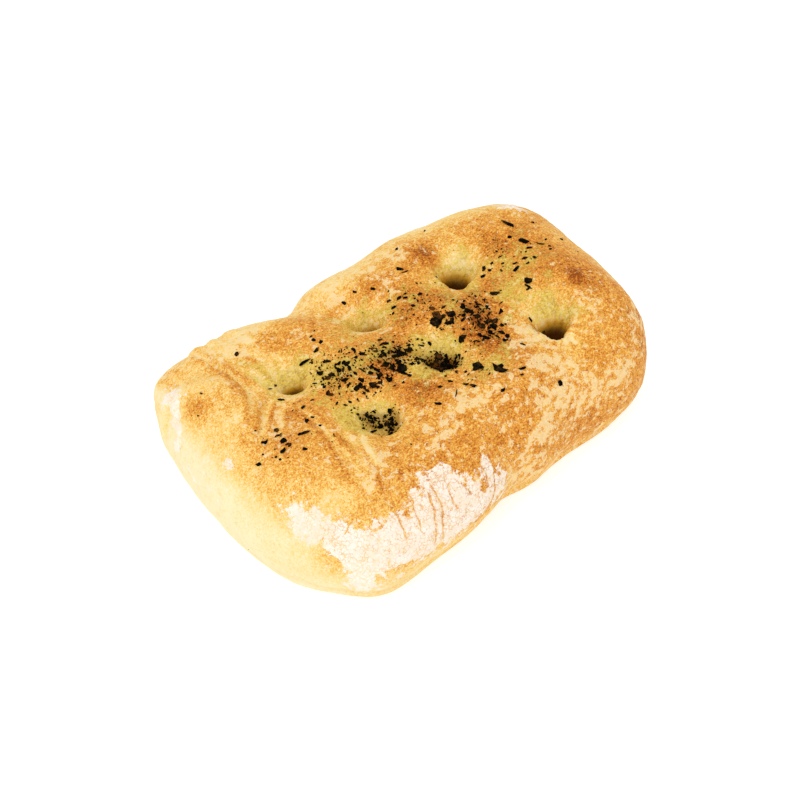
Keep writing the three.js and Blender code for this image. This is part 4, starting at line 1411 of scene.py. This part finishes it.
def place_fragments(name, rows, spokes, thickness, tilt, seed, growth=1):
    """Lays leaf pieces given as (x, y, length, width, turn) on the crust, grown by a factor and
    each of its own thickness, and makes them one piece."""
    rng = np.random.default_rng(seed)
    crust, normals = crust_arrays()
    rows = np.array(rows, float) * (1, 1, growth, growth, 1)
    nearest = nearest_on_crust(crust, rows[:, :2] - centring_shift()[:2])
    thick = thickness * (0.8 + 0.4 * rng.random(len(rows)))
    fragments, triangles = leaf_fragments(rows[:, 2], rows[:, 3], spokes, thick, rng)
    turns = np.radians(rows[:, 4])
    laid = lay_fragments(fragments, crust[nearest], normals[nearest], turns, tilt, thick * 0.35, rng)
    points, triangles = join_pieces(laid, triangles)
    piece = new_object(name, points, NO_FACES, triangles)
    settings = bpy.context.scene.loaf.herbs
    dress(piece, bpy.data.materials.get("dried_herb") or herb_material(settings))


def scatter_rows(count, patches, shortest, longest, slimness, seed):
    """Draws places on the top with the density of the herb patches, each patch a bell cut off at its
    outermost twentieth, and a size and turn for each place; small sizes are the most frequent."""
    rng = np.random.default_rng(seed)
    weights = np.array([rx * ry * density for _, _, rx, ry, _, density in patches])
    chosen = rng.choice(len(patches), count, p=weights / weights.sum())
    centre_x, centre_y, rx, ry, turn, _ = np.array(patches, float)[chosen].T
    out = np.sqrt(-np.log(1 - 0.95 * rng.random(count)))
    round_it = 2 * np.pi * rng.random(count)
    along, across = rx * out * np.cos(round_it), ry * out * np.sin(round_it)
    cos, sin = np.cos(np.radians(turn)), np.sin(np.radians(turn))
    x, y = centre_x + along * cos - across * sin, centre_y + along * sin + across * cos
    length = shortest + (longest - shortest) * rng.random(count) ** 1.8
    width = length * (slimness + (1 - slimness) * rng.random(count))
    return np.stack([x, y, length, width, 360 * rng.random(count)], -1)


class LOAF_OT_crust(bpy.types.Operator):
    """Builds the baked crust"""

    bl_idname = "loaf.crust"
    bl_label = "Crust"

    def execute(self, context):
        settings = context.scene.loaf.crust
        points, quads, fan, finish = crust_shape(settings.speckle / MM)
        crust = new_object("bread_crust", points, quads, fan)
        for name, values in finish.items():
            set_point_values(crust, name, values)
        dress(crust, crust_material(settings))
        return {"FINISHED"}


class LOAF_OT_herb_flakes(bpy.types.Operator):
    """Lays the large and small herb flakes on the crust"""

    bl_idname = "loaf.herb_flakes"
    bl_label = "Herb flakes"

    def execute(self, context):
        place_fragments(
            "herb_flakes", LARGE_FLAKES, spokes=8, thickness=0.5, tilt=0.08, seed=1, growth=FLAKE_GROWTH
        )
        place_fragments(
            "herb_small_flakes", SMALL_FLAKES, spokes=7, thickness=0.4, tilt=0.12, seed=2,
            growth=SMALL_FLAKE_GROWTH,
        )
        place_fragments("herb_slivers", SLIVERS, spokes=8, thickness=0.45, tilt=0.05, seed=3)
        return {"FINISHED"}


class LOAF_OT_herb_crumbs(bpy.types.Operator):
    """Scatters herb bits and crumbs over the oiled top"""

    bl_idname = "loaf.herb_crumbs"
    bl_label = "Herb crumbs"

    def execute(self, context):
        settings = context.scene.loaf.herbs
        bits = scatter_rows(
            settings.bits, HERB_PATCHES[:-1], shortest=0.9, longest=3, slimness=0.35, seed=4
        )
        place_fragments("herb_bits", bits, spokes=6, thickness=0.35, tilt=0.2, seed=5)
        crumbs = scatter_rows(
            settings.crumbs, HERB_PATCHES, shortest=0.35, longest=1.3, slimness=0.3, seed=6
        )
        place_fragments("herb_crumbs", crumbs, spokes=5, thickness=0.25, tilt=0.3, seed=7)
        return {"FINISHED"}


FLOOR_REACH = 4000  # from the middle to the floor's sides
SENSOR_WIDTH = 36
KEY_LIGHT_TOWARDS = {"back": 0.75, "right": -0.15, "upward": 0.5}  # from the aim point, in metres


def camera_axes(settings):
    """The directions from the loaf to the camera, to the picture's right and to its top."""
    azimuth, elevation = settings.azimuth, settings.elevation
    out = np.cos(elevation)
    back = Vector((np.sin(azimuth) * out, -np.cos(azimuth) * out, np.sin(elevation)))
    right = Vector((np.cos(azimuth), np.sin(azimuth), 0))
    return back, right, back.cross(right)


def place_facing(data, target, offset):
    """A new camera or lamp at an offset from a target, looking at it."""
    thing = bpy.data.objects.new(data.name, data)
    thing.location = target + offset
    thing.rotation_euler = (-offset).to_track_quat("-Z", "Y").to_euler()
    bpy.context.scene.collection.objects.link(thing)
    return thing


class LOAF_OT_stage(bpy.types.Operator):
    """Sets up the floor, the lights and the camera"""

    bl_idname = "loaf.stage"
    bl_label = "Stage"

    def execute(self, context):
        settings = context.scene.loaf.stage
        scene = context.scene
        scene.view_settings.view_transform = "Standard"
        back, right, up = camera_axes(settings)
        shift = centring_shift() * MM
        aim = Vector((-shift[0], -shift[1], settings.aim_height))
        aim += right * settings.aim_right + up * settings.aim_up
        lens = bpy.data.cameras.new("camera")
        lens.lens = settings.lens
        lens.sensor_width = SENSOR_WIDTH
        lens.clip_start = 0.01
        scene.camera = place_facing(lens, aim, back * settings.distance)

        corners = FLOOR_REACH * np.array([[-1, -1, 0], [1, -1, 0], [1, 1, 0], [-1, 1, 0]])
        floor = new_object("floor", corners, np.array([[0, 1, 2, 3]]), NO_FACES)
        floor.data.materials.append(floor_material())

        scene.world = bpy.data.worlds.new("surroundings")
        scene.world.use_nodes = True
        background = scene.world.node_tree.nodes["Background"]
        background.inputs["Color"].default_value = (1, 1, 1, 1)
        background.inputs["Strength"].default_value = settings.surroundings
        light = bpy.data.lights.new("key_light", "SUN")
        light.energy = settings.key_strength
        light.angle = settings.key_softness
        towards = KEY_LIGHT_TOWARDS["back"] * back + KEY_LIGHT_TOWARDS["right"] * right
        towards.z += KEY_LIGHT_TOWARDS["upward"]
        place_facing(light, aim, towards)
        return {"FINISHED"}


class LOAF_PT_panel(bpy.types.Panel):
    """Lists the operators and settings"""

    bl_idname = "LOAF_PT_panel"
    bl_label = "Turkish Bread"
    bl_space_type = "VIEW_3D"
    bl_region_type = "UI"
    bl_category = "Turkish Bread"

    def draw(self, context):
        for operator in OPERATORS:
            self.layout.operator(operator.bl_idname)
        for group in ("crust", "herbs", "stage"):
            box = self.layout.box()
            settings = getattr(context.scene.loaf, group)
            for name in settings.bl_rna.properties.keys():
                if name not in ("rna_type", "name"):
                    box.prop(settings, name)


OPERATORS = (LOAF_OT_crust, LOAF_OT_herb_flakes, LOAF_OT_herb_crumbs, LOAF_OT_stage)
CLASSES = (CrustSettings, HerbSettings, StageSettings, LoafSettings, *OPERATORS, LOAF_PT_panel)


def register():
    """Registers the classes and the scene's settings."""
    for cls in CLASSES:
        bpy.utils.register_class(cls)
    bpy.types.Scene.loaf = PointerProperty(type=LoafSettings)


def unregister():
    """Takes the classes and settings away again."""
    del bpy.types.Scene.loaf
    for cls in reversed(CLASSES):
        bpy.utils.unregister_class(cls)


def main():
    """Builds every piece and the stage."""
    register()
    bpy.ops.loaf.crust()
    bpy.ops.loaf.herb_flakes()
    bpy.ops.loaf.herb_crumbs()
    bpy.ops.loaf.stage()


if __name__ == "__main__":
    main()
